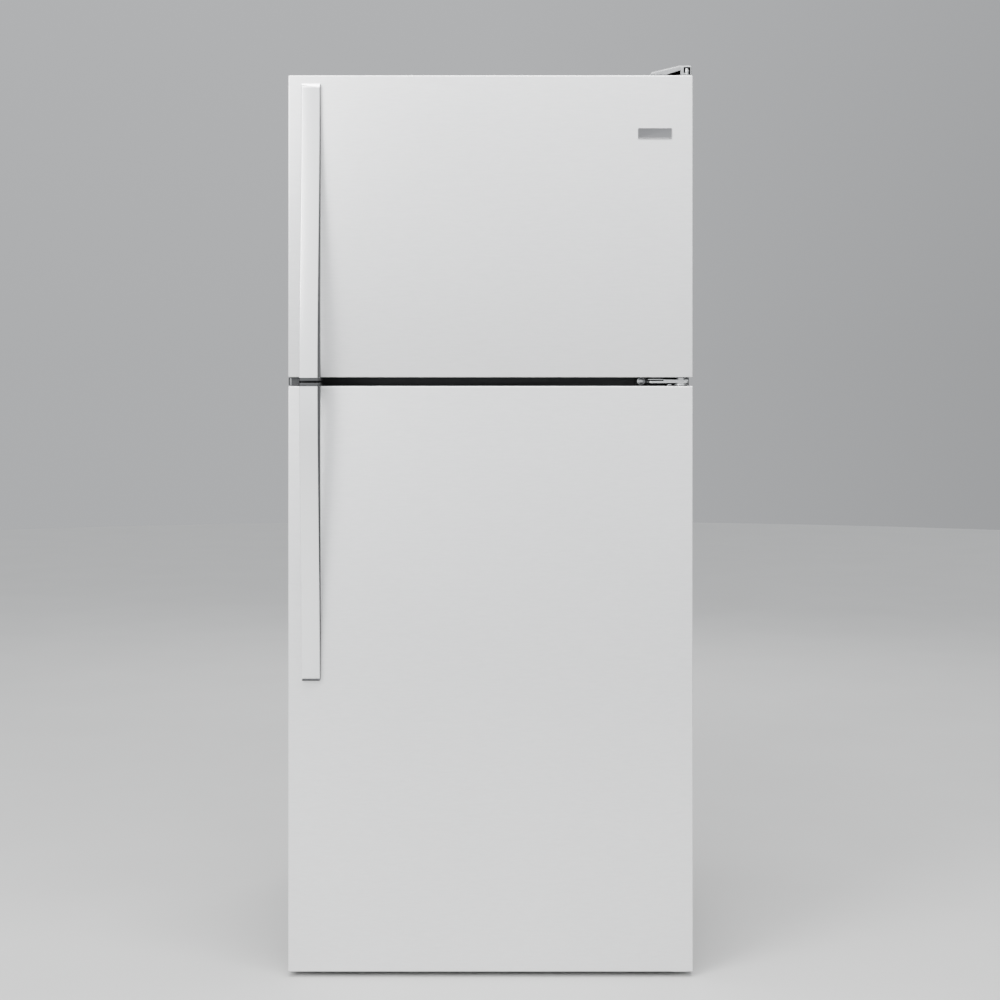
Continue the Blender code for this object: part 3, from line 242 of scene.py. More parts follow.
# ---- Cabinet wrapper -----------------------------------------------------------------------
# One sheet of steel folded over the top and down both sides, with a flange turned in round
# the front. It is painted charcoal, with a fine pebble that hides finger marks.


def alone(*pieces):
    """Selects only these pieces, with the first one active."""
    bpy.ops.object.select_all(action="DESELECT")
    for piece in pieces:
        piece.select_set(True)
    bpy.context.view_layer.objects.active = pieces[0]


def block(low, high):
    """A cube drawn out to fill the space between two corners."""
    low, high = Vector(low), Vector(high)
    bpy.ops.object.select_all(action="DESELECT")
    bpy.ops.mesh.primitive_cube_add(size=1, location=(low + high) / 2)
    made = bpy.context.object
    made.scale = high - low
    bpy.ops.object.transform_apply(location=True, rotation=True, scale=True)
    return made


def shape(piece, kind, chosen, *steps):
    """Selects the faces or edges that pass a test, and runs each step on them in edit mode."""
    alone(piece)
    bpy.ops.object.mode_set(mode="EDIT")
    bpy.ops.mesh.select_mode(type=kind)
    bpy.ops.mesh.select_all(action="DESELECT")
    shell = bmesh.from_edit_mesh(piece.data)
    for item in shell.faces if kind == "FACE" else shell.edges:
        if chosen(item):
            item.select_set(True)
    shell.select_flush_mode()
    bmesh.update_edit_mesh(piece.data)
    for step in steps:
        step()
    bpy.ops.object.mode_set(mode="OBJECT")
    return piece


def facing(x, y, z):
    """A test for faces that look one way."""
    return lambda face: face.normal.dot(Vector((x, y, z))) > 0.99


def middle(edge):
    return (edge.verts[0].co + edge.verts[1].co) / 2


def runs(edge, axis):
    way = (edge.verts[1].co - edge.verts[0].co).normalized()
    return abs(way["XYZ".index(axis)]) > 0.99


def bevel(width, segments=4):
    return lambda: bpy.ops.mesh.bevel(offset=width, segments=segments, affect="EDGES")


def inset(width, depth=0.0):
    return lambda: bpy.ops.mesh.inset(thickness=width, depth=depth)


def remove_faces():
    bpy.ops.mesh.delete(type="FACE")


def modified(piece, kind, **settings):
    """Adds a modifier to a piece and applies it."""
    alone(piece)
    added = piece.modifiers.new(kind, kind)
    for name, value in settings.items():
        setattr(added, name, value)
    bpy.ops.object.modifier_apply(modifier=added.name)
    return piece


def carved(piece, *cutters):
    for cutter in cutters:
        modified(piece, "BOOLEAN", object=cutter, operation="DIFFERENCE", solver="EXACT")
        bpy.data.objects.remove(cutter, do_unlink=True)
    return piece


def rounded(piece, width, segments=3):
    """Rounds every crisp edge of a piece."""
    return modified(
        piece, "BEVEL", width=width, segments=segments, limit_method="ANGLE",
        angle_limit=math.radians(30), use_clamp_overlap=True,
    )


def settle(piece, name, finish, *stands_for, body=None):
    """Gives a finished piece its name, its material, and the body that it moves with."""
    piece.name = name
    piece.data.materials.clear()
    piece.data.materials.append(finish.material)
    alone(piece)
    bpy.ops.object.shade_smooth_by_angle(angle=math.radians(32))
    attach(piece, body or nodes[stands_for[0]]["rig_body"])
    if stands_for:
        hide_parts(*stands_for)
    return piece


charcoal = Finish("charcoal_paint", "cabinet_paint")
cloud = charcoal.noise(4.0)
pebble = charcoal.noise(650.0, detail=2.0)
charcoal.set("Base Color", charcoal.blend(cloud, (0.030, 0.031, 0.033), (0.041, 0.042, 0.044)))
charcoal.set("Roughness", 0.46 + 0.14 * cloud)
charcoal.set("Normal", charcoal.bump(pebble, 0.0003, 0.5))

SHEET = 0.001
FOLD = 0.006
OVER = 0.05
HAIR = 1e-5
NEAR = 1e-4
low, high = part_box("cabinet_wrapper")
half_width, cabinet_front, cabinet_back, cabinet_top = high.x, low.y, high.y, high.z
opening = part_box("center_rail")[1].x
flange = half_width - opening


def top_folds(edge):
    return runs(edge, "Y") and middle(edge).z > middle_height


middle_height = (low.z + high.z) / 2
wrapper = block(low, high)
shape(wrapper, "EDGE", top_folds, bevel(FOLD))
shape(
    wrapper, "EDGE",
    lambda edge: all(v.co.y < cabinet_front + HAIR for v in edge.verts) and middle(edge).z > low.z + NEAR,
    bevel(0.0009, 3),
)
hollow = block(
    (-half_width + SHEET, cabinet_front + SHEET, low.z - OVER),
    (half_width - SHEET, cabinet_back + OVER, cabinet_top - SHEET),
)
shape(hollow, "EDGE", top_folds, bevel(FOLD - SHEET))
mouth = block(
    (-opening, cabinet_front - OVER, low.z - OVER),
    (opening, cabinet_front + 2 * SHEET, cabinet_top - flange),
)
carved(wrapper, hollow, mouth)
settle(wrapper, "painted_wrapper", charcoal, "cabinet_wrapper")


# ---- Rear panel, machine cover and their screws --------------------------------------------
# A galvanised sheet with a pressed field closes the back. Below it a fibre board with rows of
# slots covers the machinery, and hex head screws with washers hold both.


def softened(node, width=0.0, segments=2):
    """A copy of a frame node, its loose triangles merged into faces and its edges rounded."""
    copy = bpy.data.objects.new(f"{node}_copy", nodes[node].data.copy())
    bpy.context.scene.collection.objects.link(copy)
    alone(copy)
    bpy.ops.object.mode_set(mode="EDIT")
    bpy.ops.mesh.select_all(action="SELECT")
    bpy.ops.mesh.remove_doubles(threshold=0.000002)
    bpy.ops.mesh.dissolve_limited(angle_limit=math.radians(0.5))
    bpy.ops.object.mode_set(mode="OBJECT")
    return rounded(copy, width, segments) if width else copy


def rod(start, end, radius, sides=32):
    """A cylinder from one point to another."""
    start, end = Vector(start), Vector(end)
    bpy.ops.object.select_all(action="DESELECT")
    bpy.ops.mesh.primitive_cylinder_add(
        vertices=sides, radius=radius, depth=(end - start).length, location=(start + end) / 2,
        rotation=(end - start).to_track_quat("Z", "Y").to_euler(),
    )
    bpy.ops.object.transform_apply(location=True, rotation=True, scale=True)
    return bpy.context.object


def joined(*pieces):
    """Several shells made one piece."""
    alone(*pieces)
    bpy.ops.object.join()
    return bpy.context.object


def repeated(piece, *shifts):
    """A piece and its copies at these shifts from it, made one."""
    copies = [piece]
    for shift in shifts:
        alone(piece)
        bpy.ops.object.duplicate()
        copies.append(bpy.context.object)
        bpy.ops.transform.translate(value=shift)
        bpy.ops.object.transform_apply(location=True, rotation=True, scale=True)
    return joined(*copies)


def hex_screw(point, outward, across=0.008, head=0.004):
    """A hex head screw with a washer under it, its seat at a point and its head outward."""
    point, outward = Vector(point), Vector(outward)
    washer = rounded(rod(point, point + outward * 0.001, across * 0.64), 0.0003)
    hexagon = rod(point + outward * 0.0005, point + outward * head, across / 2, sides=6)
    return joined(washer, rounded(hexagon, 0.0007))


def metal(name, slot, first, second, rough, grain, stretch, depth, metallic=1.0):
    """Bare metal with a directional grain that its roughness, shade and bump all follow."""
    made = Finish(name, slot, Metallic=metallic)
    lines = made.noise(grain, stretch, detail=4.0, rough=0.6)
    drift = made.noise(1.7, detail=2.0)
    made.set("Base Color", made.blend(0.7 * lines + 0.3 * drift, first, second))
    made.set("Roughness", rough + 0.10 * lines + 0.04 * drift)
    made.set("Normal", made.bump(lines, depth, 0.4))
    return made


galvanised = Finish("galvanised_steel", "zinc_steel", Metallic=1.0)
spangle = galvanised.node(
    "ShaderNodeTexVoronoi", {"feature": "F1"}, {"Vector": galvanised.place, "Scale": 140.0}, "Color",
)
bloom = galvanised.noise(9.0)
galvanised.set("Base Color", galvanised.ramp(spangle, (0.0, (0.50, 0.51, 0.53)), (1.0, (0.66, 0.67, 0.68))))
galvanised.set("Roughness", 0.32 + 0.16 * bloom)
galvanised.set("Normal", galvanised.bump(galvanised.noise(300.0), 0.0001, 0.3))

low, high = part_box("back_panel")
panel = block(low, high)
shape(panel, "FACE", facing(0, 1, 0), inset(0.045), inset(0.004, 0.0015))
settle(rounded(panel, 0.0004, 2), "pressed_rear_panel", galvanised, "back_panel")

board = Finish("fibre_board", "fibre_board")
flecks = board.noise(260.0, (1, 1, 0.35), detail=5.0, rough=0.7)
stain = board.noise(7.0)
board.set("Base Color", board.ramp(
    0.75 * flecks + 0.25 * stain, (0.35, (0.16, 0.115, 0.075)), (0.65, (0.33, 0.25, 0.17)),
))
board.set("Roughness", 0.75 + 0.2 * flecks)
board.set("Normal", board.bump(flecks, 0.0004, 0.6))
settle(softened("machine_cover"), "slotted_cover_board", board, "machine_cover")

SCREW_INSET = 0.012
cover_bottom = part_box("machine_cover")[0].z
step_x = (half_width - 0.020) / 2
screw = hex_screw((-2 * step_x, high.y, high.z - SCREW_INSET), (0, 1, 0))
panel_rows = (0.0, low.z + 2 * SCREW_INSET - high.z)
panel_screws = [(column * step_x, 0, row) for row in panel_rows for column in range(5)]
cover_screws = [(column * 2 * step_x, 0, cover_bottom + 2 * SCREW_INSET - high.z) for column in range(3)]
settle(repeated(screw, *panel_screws[1:], *cover_screws), "rear_screws", galvanised, body="cabinet")


# ---- Rail between the doors, base pan, toe grille, feet and rollers ------------------------
# The rail is dark painted steel behind the gap. The base pan is folded galvanised sheet, with
# a moulded grille at its front, two levelling feet on threaded stems, and two rear rollers.


def moulded(name, slot, first, second, rough, grain=1400.0, depth=0.00008, **constants):
    """A moulded plastic with a faint cloud of shade in it and the fine grain of its mould."""
    made = Finish(name, slot, **constants)
    shade = made.noise(12.0, detail=2.0)
    made.set("Base Color", made.blend(shade, first, second))
    made.set("Roughness", rough + 0.10 * shade)
    made.set("Normal", made.bump(made.noise(grain, detail=1.0), depth, 0.35))
    return made


black_plastic = moulded("black_plastic", "black_plastic", (0.016, 0.016, 0.017), (0.024, 0.024, 0.025), 0.42)
settle(softened("center_rail", 0.0003), "painted_rail", charcoal, "center_rail")
settle(softened("base_pan", 0.0003, 1), "folded_base_pan", galvanised, "base_pan")
settle(softened("base_grille", 0.0010), "moulded_toe_grille", black_plastic, "base_grille")

PAD_HEIGHT = 0.012
STEM_RADIUS = 0.0043
THREAD_RADIUS = 0.005
THREAD_PITCH = 0.0026
for side in ("left", "right"):
    low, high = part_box(f"{side}_levelling_foot")
    centre = (low + high) / 2
    radius = (high.x - low.x) / 2

    def at(z):
        return centre.x, centre.y, z

    pad = rod(at(0), at(PAD_HEIGHT), radius, sides=48)
    shape(pad, "FACE", facing(0, 0, 1), inset(0.004), inset(0.002, 0.002))
    rounded(pad, 0.0018)
    settle(pad, f"{side}_foot_pad", black_plastic, f"{side}_levelling_foot")
    stem = rod(at(PAD_HEIGHT - 0.002), at(high.z), STEM_RADIUS)
    first_turn = PAD_HEIGHT + 0.004
    turn = rounded(rod(at(first_turn), at(first_turn + THREAD_PITCH * 0.7), THREAD_RADIUS), 0.0008)
    turns = int((high.z - PAD_HEIGHT - 0.008) / THREAD_PITCH)
    thread = repeated(turn, *[(0, 0, THREAD_PITCH * step) for step in range(1, turns)])
    settle(joined(stem, thread), f"{side}_foot_stem", galvanised, body=f"{side}_levelling_foot")

    wheel = softened(f"{side}_rear_roller", 0.0012, 3)
    settle(wheel, f"{side}_moulded_roller", black_plastic, f"{side}_rear_roller")


# ---- Foam ----------------------------------------------------------------------------------
# Rigid foam fills the cabinet walls and both doors. It sets against the sheets round it, so
# its shape is the frame's own. It shows only at cut edges, as a cellular cream surface.

rigid_foam = Finish("rigid_foam", "foam")
cells = rigid_foam.node(
    "ShaderNodeTexVoronoi", {"feature": "F1"}, {"Vector": rigid_foam.place, "Scale": 420.0}, "Distance",
)
tint = rigid_foam.noise(6.0)
rigid_foam.set("Base Color", rigid_foam.blend(tint, (0.80, 0.68, 0.42), (0.88, 0.79, 0.56)))
rigid_foam.set("Roughness", 0.82 + 0.12 * tint)
rigid_foam.set("Normal", rigid_foam.bump(cells, 0.0006, 0.6))
for node in ("cabinet_foam", "freezer_door_foam", "fridge_door_foam"):
    nodes[node].data.materials.clear()
    nodes[node].data.materials.append(rigid_foam.material)


# ---- Inner liners --------------------------------------------------------------------------
# Each space is a tub of glossy white sheet, drawn over a mould so that its corners are round,
# with a flange behind the cabinet front and a rib under each end of every shelf.

white_plastic = moulded(
    "white_plastic", "white_plastic", (0.835, 0.842, 0.842), (0.850, 0.857, 0.857), 0.30, 900.0,
)

WALL = 0.002
CORNER = 0.012
RIB = 0.009
RIB_HEIGHT = 0.008
FIT = 0.0003
shelf_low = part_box("upper_shelf_frame")[0]
side_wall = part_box("evaporator_cover")[1].x + FIT


def liner(node, spaces, levels, rib_back):
    """The lined space: boxes made one hollow shell, its front open, with flange and ribs."""
    low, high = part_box(node)
    shell, *others = [block(*space) for space in spaces]
    for other in others:
        modified(shell, "BOOLEAN", object=other, operation="UNION", solver="EXACT")
        bpy.data.objects.remove(other, do_unlink=True)
    alone(shell)
    bpy.ops.object.mode_set(mode="EDIT")
    bpy.ops.mesh.select_all(action="SELECT")
    bpy.ops.mesh.dissolve_limited(angle_limit=math.radians(0.5))
    bpy.ops.object.mode_set(mode="OBJECT")
    shape(shell, "FACE", facing(0, -1, 0), remove_faces)
    shape(
        shell, "EDGE",
        lambda edge: not all(v.co.y < cabinet_front + HAIR for v in edge.verts), bevel(CORNER, 5),
    )
    modified(shell, "SOLIDIFY", thickness=WALL, offset=1.0)
    space_low = Vector([min(space[0][axis] for space in spaces) for axis in range(3)])
    space_high = Vector([max(space[1][axis] for space in spaces) for axis in range(3)])
    lip = block(low, (high.x, cabinet_front + SHEET, high.z))
    carved(lip, block(
        (space_low.x, cabinet_front - OVER, space_low.z), (space_high.x, cabinet_front + OVER, space_high.z),
    ))
    rib = rounded(block(
        (side_wall - RIB, shelf_low.y, levels[0] - FIT - RIB_HEIGHT),
        (side_wall + WALL / 2, rib_back, levels[0] - FIT),
    ), 0.0022)
    across = (-(2 * side_wall - RIB + WALL / 2), 0, 0)
    steps = [(0, 0, level - levels[0]) for level in levels[1:]]
    ribs = repeated(rib, across, *steps, *[(across[0], 0, step[2]) for step in steps])
    settle(joined(shell, lip, ribs), f"moulded_{node}", white_plastic, node)


low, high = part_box("freezer_liner")
freezer_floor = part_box("evaporator_cover")[0].z - FIT
freezer_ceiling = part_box("evaporator_cover")[1].z + FIT
space_back = high.y - WALL
liner(
    "freezer_liner",
    [((-side_wall, cabinet_front, freezer_floor), (side_wall, space_back, freezer_ceiling))],
    [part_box("freezer_shelf")[0].z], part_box("evaporator_cover")[0].y - 0.020,
)
fridge_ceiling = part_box("control_housing")[1].z + FIT
fridge_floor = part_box("left_crisper_drawer")[0].z - FIT
step_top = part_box("crisper_cover")[0].z - 0.002
step_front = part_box("left_crisper_drawer")[1].y + 0.006
liner(
    "fridge_liner",
    [
        ((-side_wall, cabinet_front, step_top), (side_wall, space_back, fridge_ceiling)),
        ((-side_wall, cabinet_front, fridge_floor), (side_wall, step_front, fridge_ceiling)),
    ],
    [shelf_low.z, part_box("lower_shelf_frame")[0].z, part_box("crisper_cover")[0].z + 0.006], space_back - 0.040,
)


# ---- Machinery -----------------------------------------------------------------------------
# A welded black compressor, the condenser tubes and a fan in its shroud stand under the step
# of the liner. The finned coil and its fan sit behind a white cover in the freezer.

# Black enamel for the compressor and tubes. On the middle hinge seat it is painted shade.
black_steel = Finish("black_enamel_and_painted_shade", "black_steel", Metallic=0.0)
orange_peel = black_steel.noise(240.0, detail=2.0)
enamel_cloud = black_steel.noise(9.0)
black_steel.set("Base Color", black_steel.blend(enamel_cloud, (0.014, 0.014, 0.015), (0.026, 0.026, 0.027)))
black_steel.set("Roughness", 0.26 + 0.16 * orange_peel)
black_steel.set("Normal", black_steel.bump(orange_peel, 0.0003, 0.4))
aluminium = metal(
    "mill_aluminium", "aluminium_fin", (0.66, 0.67, 0.68), (0.80, 0.81, 0.82), 0.26,
    1.0, (900, 60, 60), 0.00008,
)
for node, name, width, finish in (
    ("compressor", "welded_compressor", 0.0012, black_steel),
    ("condenser_coil", "condenser_tubes", 0.0, black_steel),
    ("condenser_fan_shroud", "moulded_fan_shroud", 0.0010, black_plastic),
    ("condenser_fan", "condenser_fan_wheel", 0.0005, black_plastic),
    ("evaporator_coil", "finned_coil", 0.0, aluminium),
    ("evaporator_cover", "coil_cover", 0.0016, white_plastic),
    ("evaporator_fan", "evaporator_fan_wheel", 0.0005, black_plastic),
):
    settle(softened(node, width), name, finish, node)


# ---- Shelves, drawer cover and drawers -----------------------------------------------------
# Glass panes lie in moulded white frames. A clear cover closes the two clear drawers, and the
# freezer has a coated wire shelf. Shelves and cover rest on the liners' ribs.


def see_through(name, slot, body, tint, rough, opacity):
    """A clear sheet: mostly seen through, denser and glossier at a glancing angle."""
    made = Finish(name, slot, IOR=1.5)
    shade = made.noise(8.0)
    rim = made.node("ShaderNodeLayerWeight", None, {"Blend": 0.35}, "Facing")
    made.set("Base Color", made.blend(shade, body, tint))
    made.set("Roughness", rough + 0.05 * shade)
    made.set("Alpha", (opacity + 0.55 * rim * rim).clamped())
    return made


clear_plastic = see_through(
    "clear_plastic", "clear_plastic", (0.80, 0.86, 0.89), (0.88, 0.92, 0.94), 0.08, 0.30,
)
shelf_glass = see_through("tempered_glass", "shelf_glass", (0.62, 0.80, 0.74), (0.72, 0.87, 0.82), 0.02, 0.26)

for level in ("upper", "lower"):
    frame_piece = softened(f"{level}_shelf_frame", 0.0028, 3)
    settle(frame_piece, f"{level}_moulded_frame", white_plastic, f"{level}_shelf_frame")
    pane = softened(f"{level}_shelf_glass", 0.0010)
    settle(pane, f"{level}_glass_pane", shelf_glass, f"{level}_shelf_glass")
settle(softened("crisper_cover", 0.0012), "clear_drawer_cover", clear_plastic, "crisper_cover")


def bin_shell(low, high, wall, corner, rim, rim_height):
    """A moulded open box with round corners and a thicker rim."""
    low, high = Vector(low), Vector(high)

    def upright(edge):
        return runs(edge, "Z")

    shell = block(low, high)
    shape(shell, "EDGE", upright, bevel(corner, 5))
    shape(shell, "FACE", facing(0, 0, 1), remove_faces)
    shape(shell, "EDGE", lambda edge: all(v.co.z < low.z + HAIR for v in edge.verts), bevel(corner / 2, 4))
    modified(shell, "SOLIDIFY", thickness=wall, offset=-1.0)
    rounded(shell, wall / 4, 2)
    collar = block((low.x, low.y, high.z - rim_height), high)
    shape(collar, "EDGE", upright, bevel(corner, 5))
    shape(collar, "FACE", lambda face: abs(face.normal.z) > 0.99, remove_faces)
    modified(collar, "SOLIDIFY", thickness=rim, offset=-1.0)
    return joined(shell, rounded(collar, rim / 4, 2))


LIP_REACH = 0.014
for side in ("left", "right"):
    low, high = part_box(f"{side}_crisper_drawer")
    tub_low = Vector((low.x, low.y + LIP_REACH, low.z))
    drawer = bin_shell(tub_low, high, 0.0025, 0.014, 0.0045, 0.006)
    pull = block(
        (low.x + 0.020, low.y, high.z - 0.026), (high.x - 0.020, tub_low.y + 0.001, high.z - 0.0225),
    )
    shape(pull, "EDGE", lambda edge: runs(edge, "Z") and middle(edge).y < low.y + NEAR, bevel(0.010, 5))
    hook = block((low.x + 0.030, low.y, high.z - 0.036), (high.x - 0.030, low.y + 0.003, high.z - 0.024))
    drawer = joined(drawer, rounded(pull, 0.0012), rounded(hook, 0.0012))
    settle(drawer, f"{side}_clear_drawer", clear_plastic, f"{side}_crisper_drawer")

low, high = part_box("freezer_shelf")
RIM = 0.012
wire_frame = carved(block(low, high), block(
    (low.x + RIM, low.y + RIM, low.z - OVER), (high.x - RIM, high.y - RIM, high.z + OVER),
))
rounded(wire_frame, 0.0035, 4)
WIRES = 20
WIRE_RADIUS = 0.0018
BRACE_RADIUS = 0.0022
wire_z = low.z + 0.0075
wire_step = (high.y - low.y - 2 * RIM) / (WIRES + 1)
first_y = low.y + RIM + wire_step
wire = rod((low.x + RIM / 2, first_y, wire_z), (high.x - RIM / 2, first_y, wire_z), WIRE_RADIUS, sides=16)
wires = repeated(wire, *[(0, wire_step * step, 0) for step in range(1, WIRES)])
brace_z = wire_z - 0.0028
brace = rod((0, low.y + RIM / 2, brace_z), (0, high.y - RIM / 2, brace_z), BRACE_RADIUS, sides=16)
braces = repeated(brace, (-0.16, 0, 0), (0.16, 0, 0))
settle(joined(wire_frame, wires, braces), "coated_wire_shelf", white_plastic, "freezer_shelf")


# ---- Controls, lamp cover and door switch --------------------------------------------------
# A white housing under the fridge ceiling carries two grey dials marked 1 to 5. A ribbed clear
# cover shields the lamp behind it, and a sprung pin at the front edge works the lamp.

grey_plastic = moulded("grey_plastic", "grey_plastic", (0.066, 0.067, 0.070), (0.088, 0.089, 0.092), 0.46)
settle(softened("control_housing", 0.0025, 3), "control_box", white_plastic, "control_housing")
low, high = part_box("control_housing")
NUMBER_RING = 0.0215
for label in ("fridge", "freezer"):
    knob = softened(f"{label}_temperature_knob", 0.0010, 3)
    settle(knob, f"{label}_dial", grey_plastic, f"{label}_temperature_knob")
    knob_low, knob_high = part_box(f"{label}_temperature_knob")
    centre = (knob_low + knob_high) / 2
    grip_top = knob_high.z - 0.002
    mark = rounded(block(
        (centre.x - 0.0008, knob_low.y - 0.0004, grip_top - 0.012),
        (centre.x + 0.0008, knob_low.y + 0.0004, grip_top - 0.001),
    ), 0.0003)
    settle(mark, f"{label}_dial_mark", white_plastic, body=f"{label}_temperature_knob")
    digits = []
    for step in range(5):
        angle = math.radians(150 - 30 * step)
        bpy.ops.object.select_all(action="DESELECT")
        bpy.ops.object.text_add()
        digit = bpy.context.object
        digit.data.body = str(step + 1)
        digit.data.size = 0.0065
        digit.data.extrude = 0.00015
        digit.data.align_x = digit.data.align_y = "CENTER"
        bpy.ops.object.convert(target="MESH")
        digit = bpy.context.object
        digit.location = (
            centre.x + NUMBER_RING * math.cos(angle), low.y - 0.0001,
            centre.z + NUMBER_RING * math.sin(angle),
        )
        digit.rotation_euler = (math.radians(90), 0, 0)
        bpy.ops.object.transform_apply(location=True, rotation=True, scale=True)
        digits.append(digit)
    settle(joined(*digits), f"{label}_dial_numbers", grey_plastic, body="cabinet")

low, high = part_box("lamp_cover")
lamp_cover = softened("lamp_cover", 0.0012)
rib = rounded(block(
    (low.x + 0.016, low.y + 0.006, low.z - 0.0012), (low.x + 0.018, high.y - 0.006, low.z + 0.001),
), 0.0005)
ribs = repeated(rib, *[(0.008 * step, 0, 0) for step in range(1, 14)])
settle(joined(lamp_cover, ribs), "ribbed_lamp_cover", clear_plastic, "lamp_cover")
settle(softened("light_switch_plunger", 0.0009, 3), "switch_pin", white_plastic, "light_switch_plunger")


# ---- Door skins ----------------------------------------------------------------------------
# Each door front is one sheet of stainless steel with a horizontal brushed grain, bent back
# round the sides, with short returns over the end caps.

stainless = Finish("brushed_stainless", "stainless", Metallic=0.58)
strokes = stainless.noise(1.0, (60, 400, 420), detail=3.0, rough=0.55)
hairs = stainless.noise(1.0, (14, 600, 2200), detail=3.0, rough=0.6)
drift = stainless.noise(2.2, detail=2.0)
stainless.set("Base Color", stainless.ramp(
    0.45 * strokes + 0.25 * hairs + 0.30 * drift,
    (0.33, (0.810, 0.813, 0.815)), (0.67, (0.890, 0.893, 0.893)),
))
stainless.set("Roughness", 0.27 + 0.09 * strokes + 0.06 * hairs)
stainless.set("Normal", stainless.bump(0.5 * strokes + 0.5 * hairs, 0.00009, 0.4))
SIDE_BEND = 0.003
END_BEND = 0.0024
cap_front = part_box("freezer_door_top_cap")[0].y
for label in ("freezer", "fridge"):
    low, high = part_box(f"{label}_door_skin")
    door_middle = (low.z + high.z) / 2
    skin = block(low, high)
    shape(skin, "FACE", facing(0, 1, 0), remove_faces)
    shape(skin, "EDGE", lambda edge: runs(edge, "Z") and middle(edge).y < low.y + HAIR, bevel(SIDE_BEND, 5))
    shape(
        skin, "EDGE",
        lambda edge: abs(abs(middle(edge).z - door_middle) - (high.z - door_middle)) < HAIR
        and middle(edge).y < low.y + SIDE_BEND and not runs(edge, "Y"),
        bevel(END_BEND, 4),
    )
    modified(skin, "SOLIDIFY", thickness=SHEET, offset=-1.0)
    carved(skin, block(
        (low.x + SHEET + 0.0002, cap_front - 2 * FIT, low.z - OVER),
        (high.x - SHEET - 0.0002, high.y + OVER, high.z + OVER),
    ))
    settle(skin, f"{label}_steel_front", stainless, f"{label}_door_skin")


# ---- Door end caps, liners and gaskets -----------------------------------------------------
# Grey moulded caps close each door's ends. The white liner has a raised dike that plugs the
# opening, and a dark vinyl gasket with a bellows and a magnet strip runs round it.

gasket_vinyl = moulded(
    "gasket_vinyl", "gasket_vinyl", (0.042, 0.042, 0.044), (0.060, 0.060, 0.062), 0.48, 500.0,
)
CAP_RIB_STEP = 0.030
DIKE = 0.022
LINER_GAP = 0.015
spaces = {"freezer": (freezer_floor, freezer_ceiling), "fridge": (fridge_floor, fridge_ceiling)}
for label, (space_floor, space_ceiling) in spaces.items():
    for end, face, rib_rise in (("top", 1, 0.0004), ("bottom", 0, 0.0006)):
        cap = softened(f"{label}_door_{end}_cap", 0.0008)
        cap_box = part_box(f"{label}_door_{end}_cap")
        face_z = cap_box[face].z
        rib_x = cap_box[0].x + CAP_RIB_STEP
        rib = rounded(block(
            (rib_x, cap_box[0].y + 0.004, face_z - 0.0006),
            (rib_x + 0.0016, cap_box[1].y - 0.004, face_z + rib_rise),
        ), 0.0003)
        ribs = repeated(rib, *[(CAP_RIB_STEP * step, 0, 0) for step in range(1, 22)])
        settle(joined(cap, ribs), f"{label}_{end}_end_cap", grey_plastic, f"{label}_door_{end}_cap")

    low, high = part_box(f"{label}_door_liner")
    door_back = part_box(f"{label}_door_gasket")[0].y - FIT
    sheet = rounded(block(low, (high.x, door_back, high.z)), 0.0008)
    dike_x = side_wall - LINER_GAP

    def dike_box(grow, low_y, high_y):
        return block(
            (-dike_x - grow, low_y, space_floor + LINER_GAP - grow),
            (dike_x + grow, high_y, space_ceiling - LINER_GAP + grow),
        )

    dike = dike_box(0, door_back - WALL / 2, high.y)
    shape(dike, "EDGE", lambda edge: runs(edge, "Y"), bevel(0.016, 6))
    shape(dike, "EDGE", lambda edge: all(v.co.y > high.y - HAIR for v in edge.verts), bevel(0.008, 5))
    well = dike_box(-DIKE, door_back, high.y + OVER)
    shape(well, "EDGE", lambda edge: runs(edge, "Y"), bevel(0.010, 6))
    carved(dike, well)
    well_middle = (space_floor + space_ceiling) / 2
    well_reach = (space_ceiling - space_floor) / 2 - LINER_GAP - DIKE

    def well_rim(edge):
        return all(
            v.co.y > high.y - HAIR and abs(v.co.x) < dike_x - DIKE + NEAR
            and abs(v.co.z - well_middle) < well_reach + NEAR
            for v in edge.verts
        )

    shape(dike, "EDGE", well_rim, bevel(0.005, 4))
    settle(joined(sheet, dike), f"{label}_door_lining", white_plastic, f"{label}_door_liner")

    low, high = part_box(f"{label}_door_gasket")
    deep = high.y - low.y

    def layer(start, end, edge_in, band):
        """One fold of the gasket: a round edged band that runs right round."""
        outside = block(
            (low.x + edge_in, low.y + start * deep, low.z + edge_in),
            (high.x - edge_in, low.y + end * deep, high.z - edge_in),
        )
        inside = block(
            (low.x + edge_in + band, low.y - OVER, low.z + edge_in + band),
            (high.x - edge_in - band, high.y + OVER, high.z - edge_in - band),
        )
        return rounded(carved(outside, inside), deep * (end - start) * 0.3, 3)

    folds = joined(
        layer(0.0, 0.22, 0.0015, 0.0105), layer(0.16, 0.46, 0.0035, 0.0060),
        layer(0.38, 0.66, 0.0020, 0.0090), layer(0.60, 1.0, 0.0, 0.0122),
    )
    settle(folds, f"{label}_magnetic_gasket", gasket_vinyl, f"{label}_door_gasket")


# ---- Door bins, dairy compartment and drain pan --------------------------------------------
# Moulded bins hang inside the dikes. The dairy compartment at the top of the fridge door has
# a clear lid that lifts on pins at its top edge. The drain pan is a shallow moulded tray.

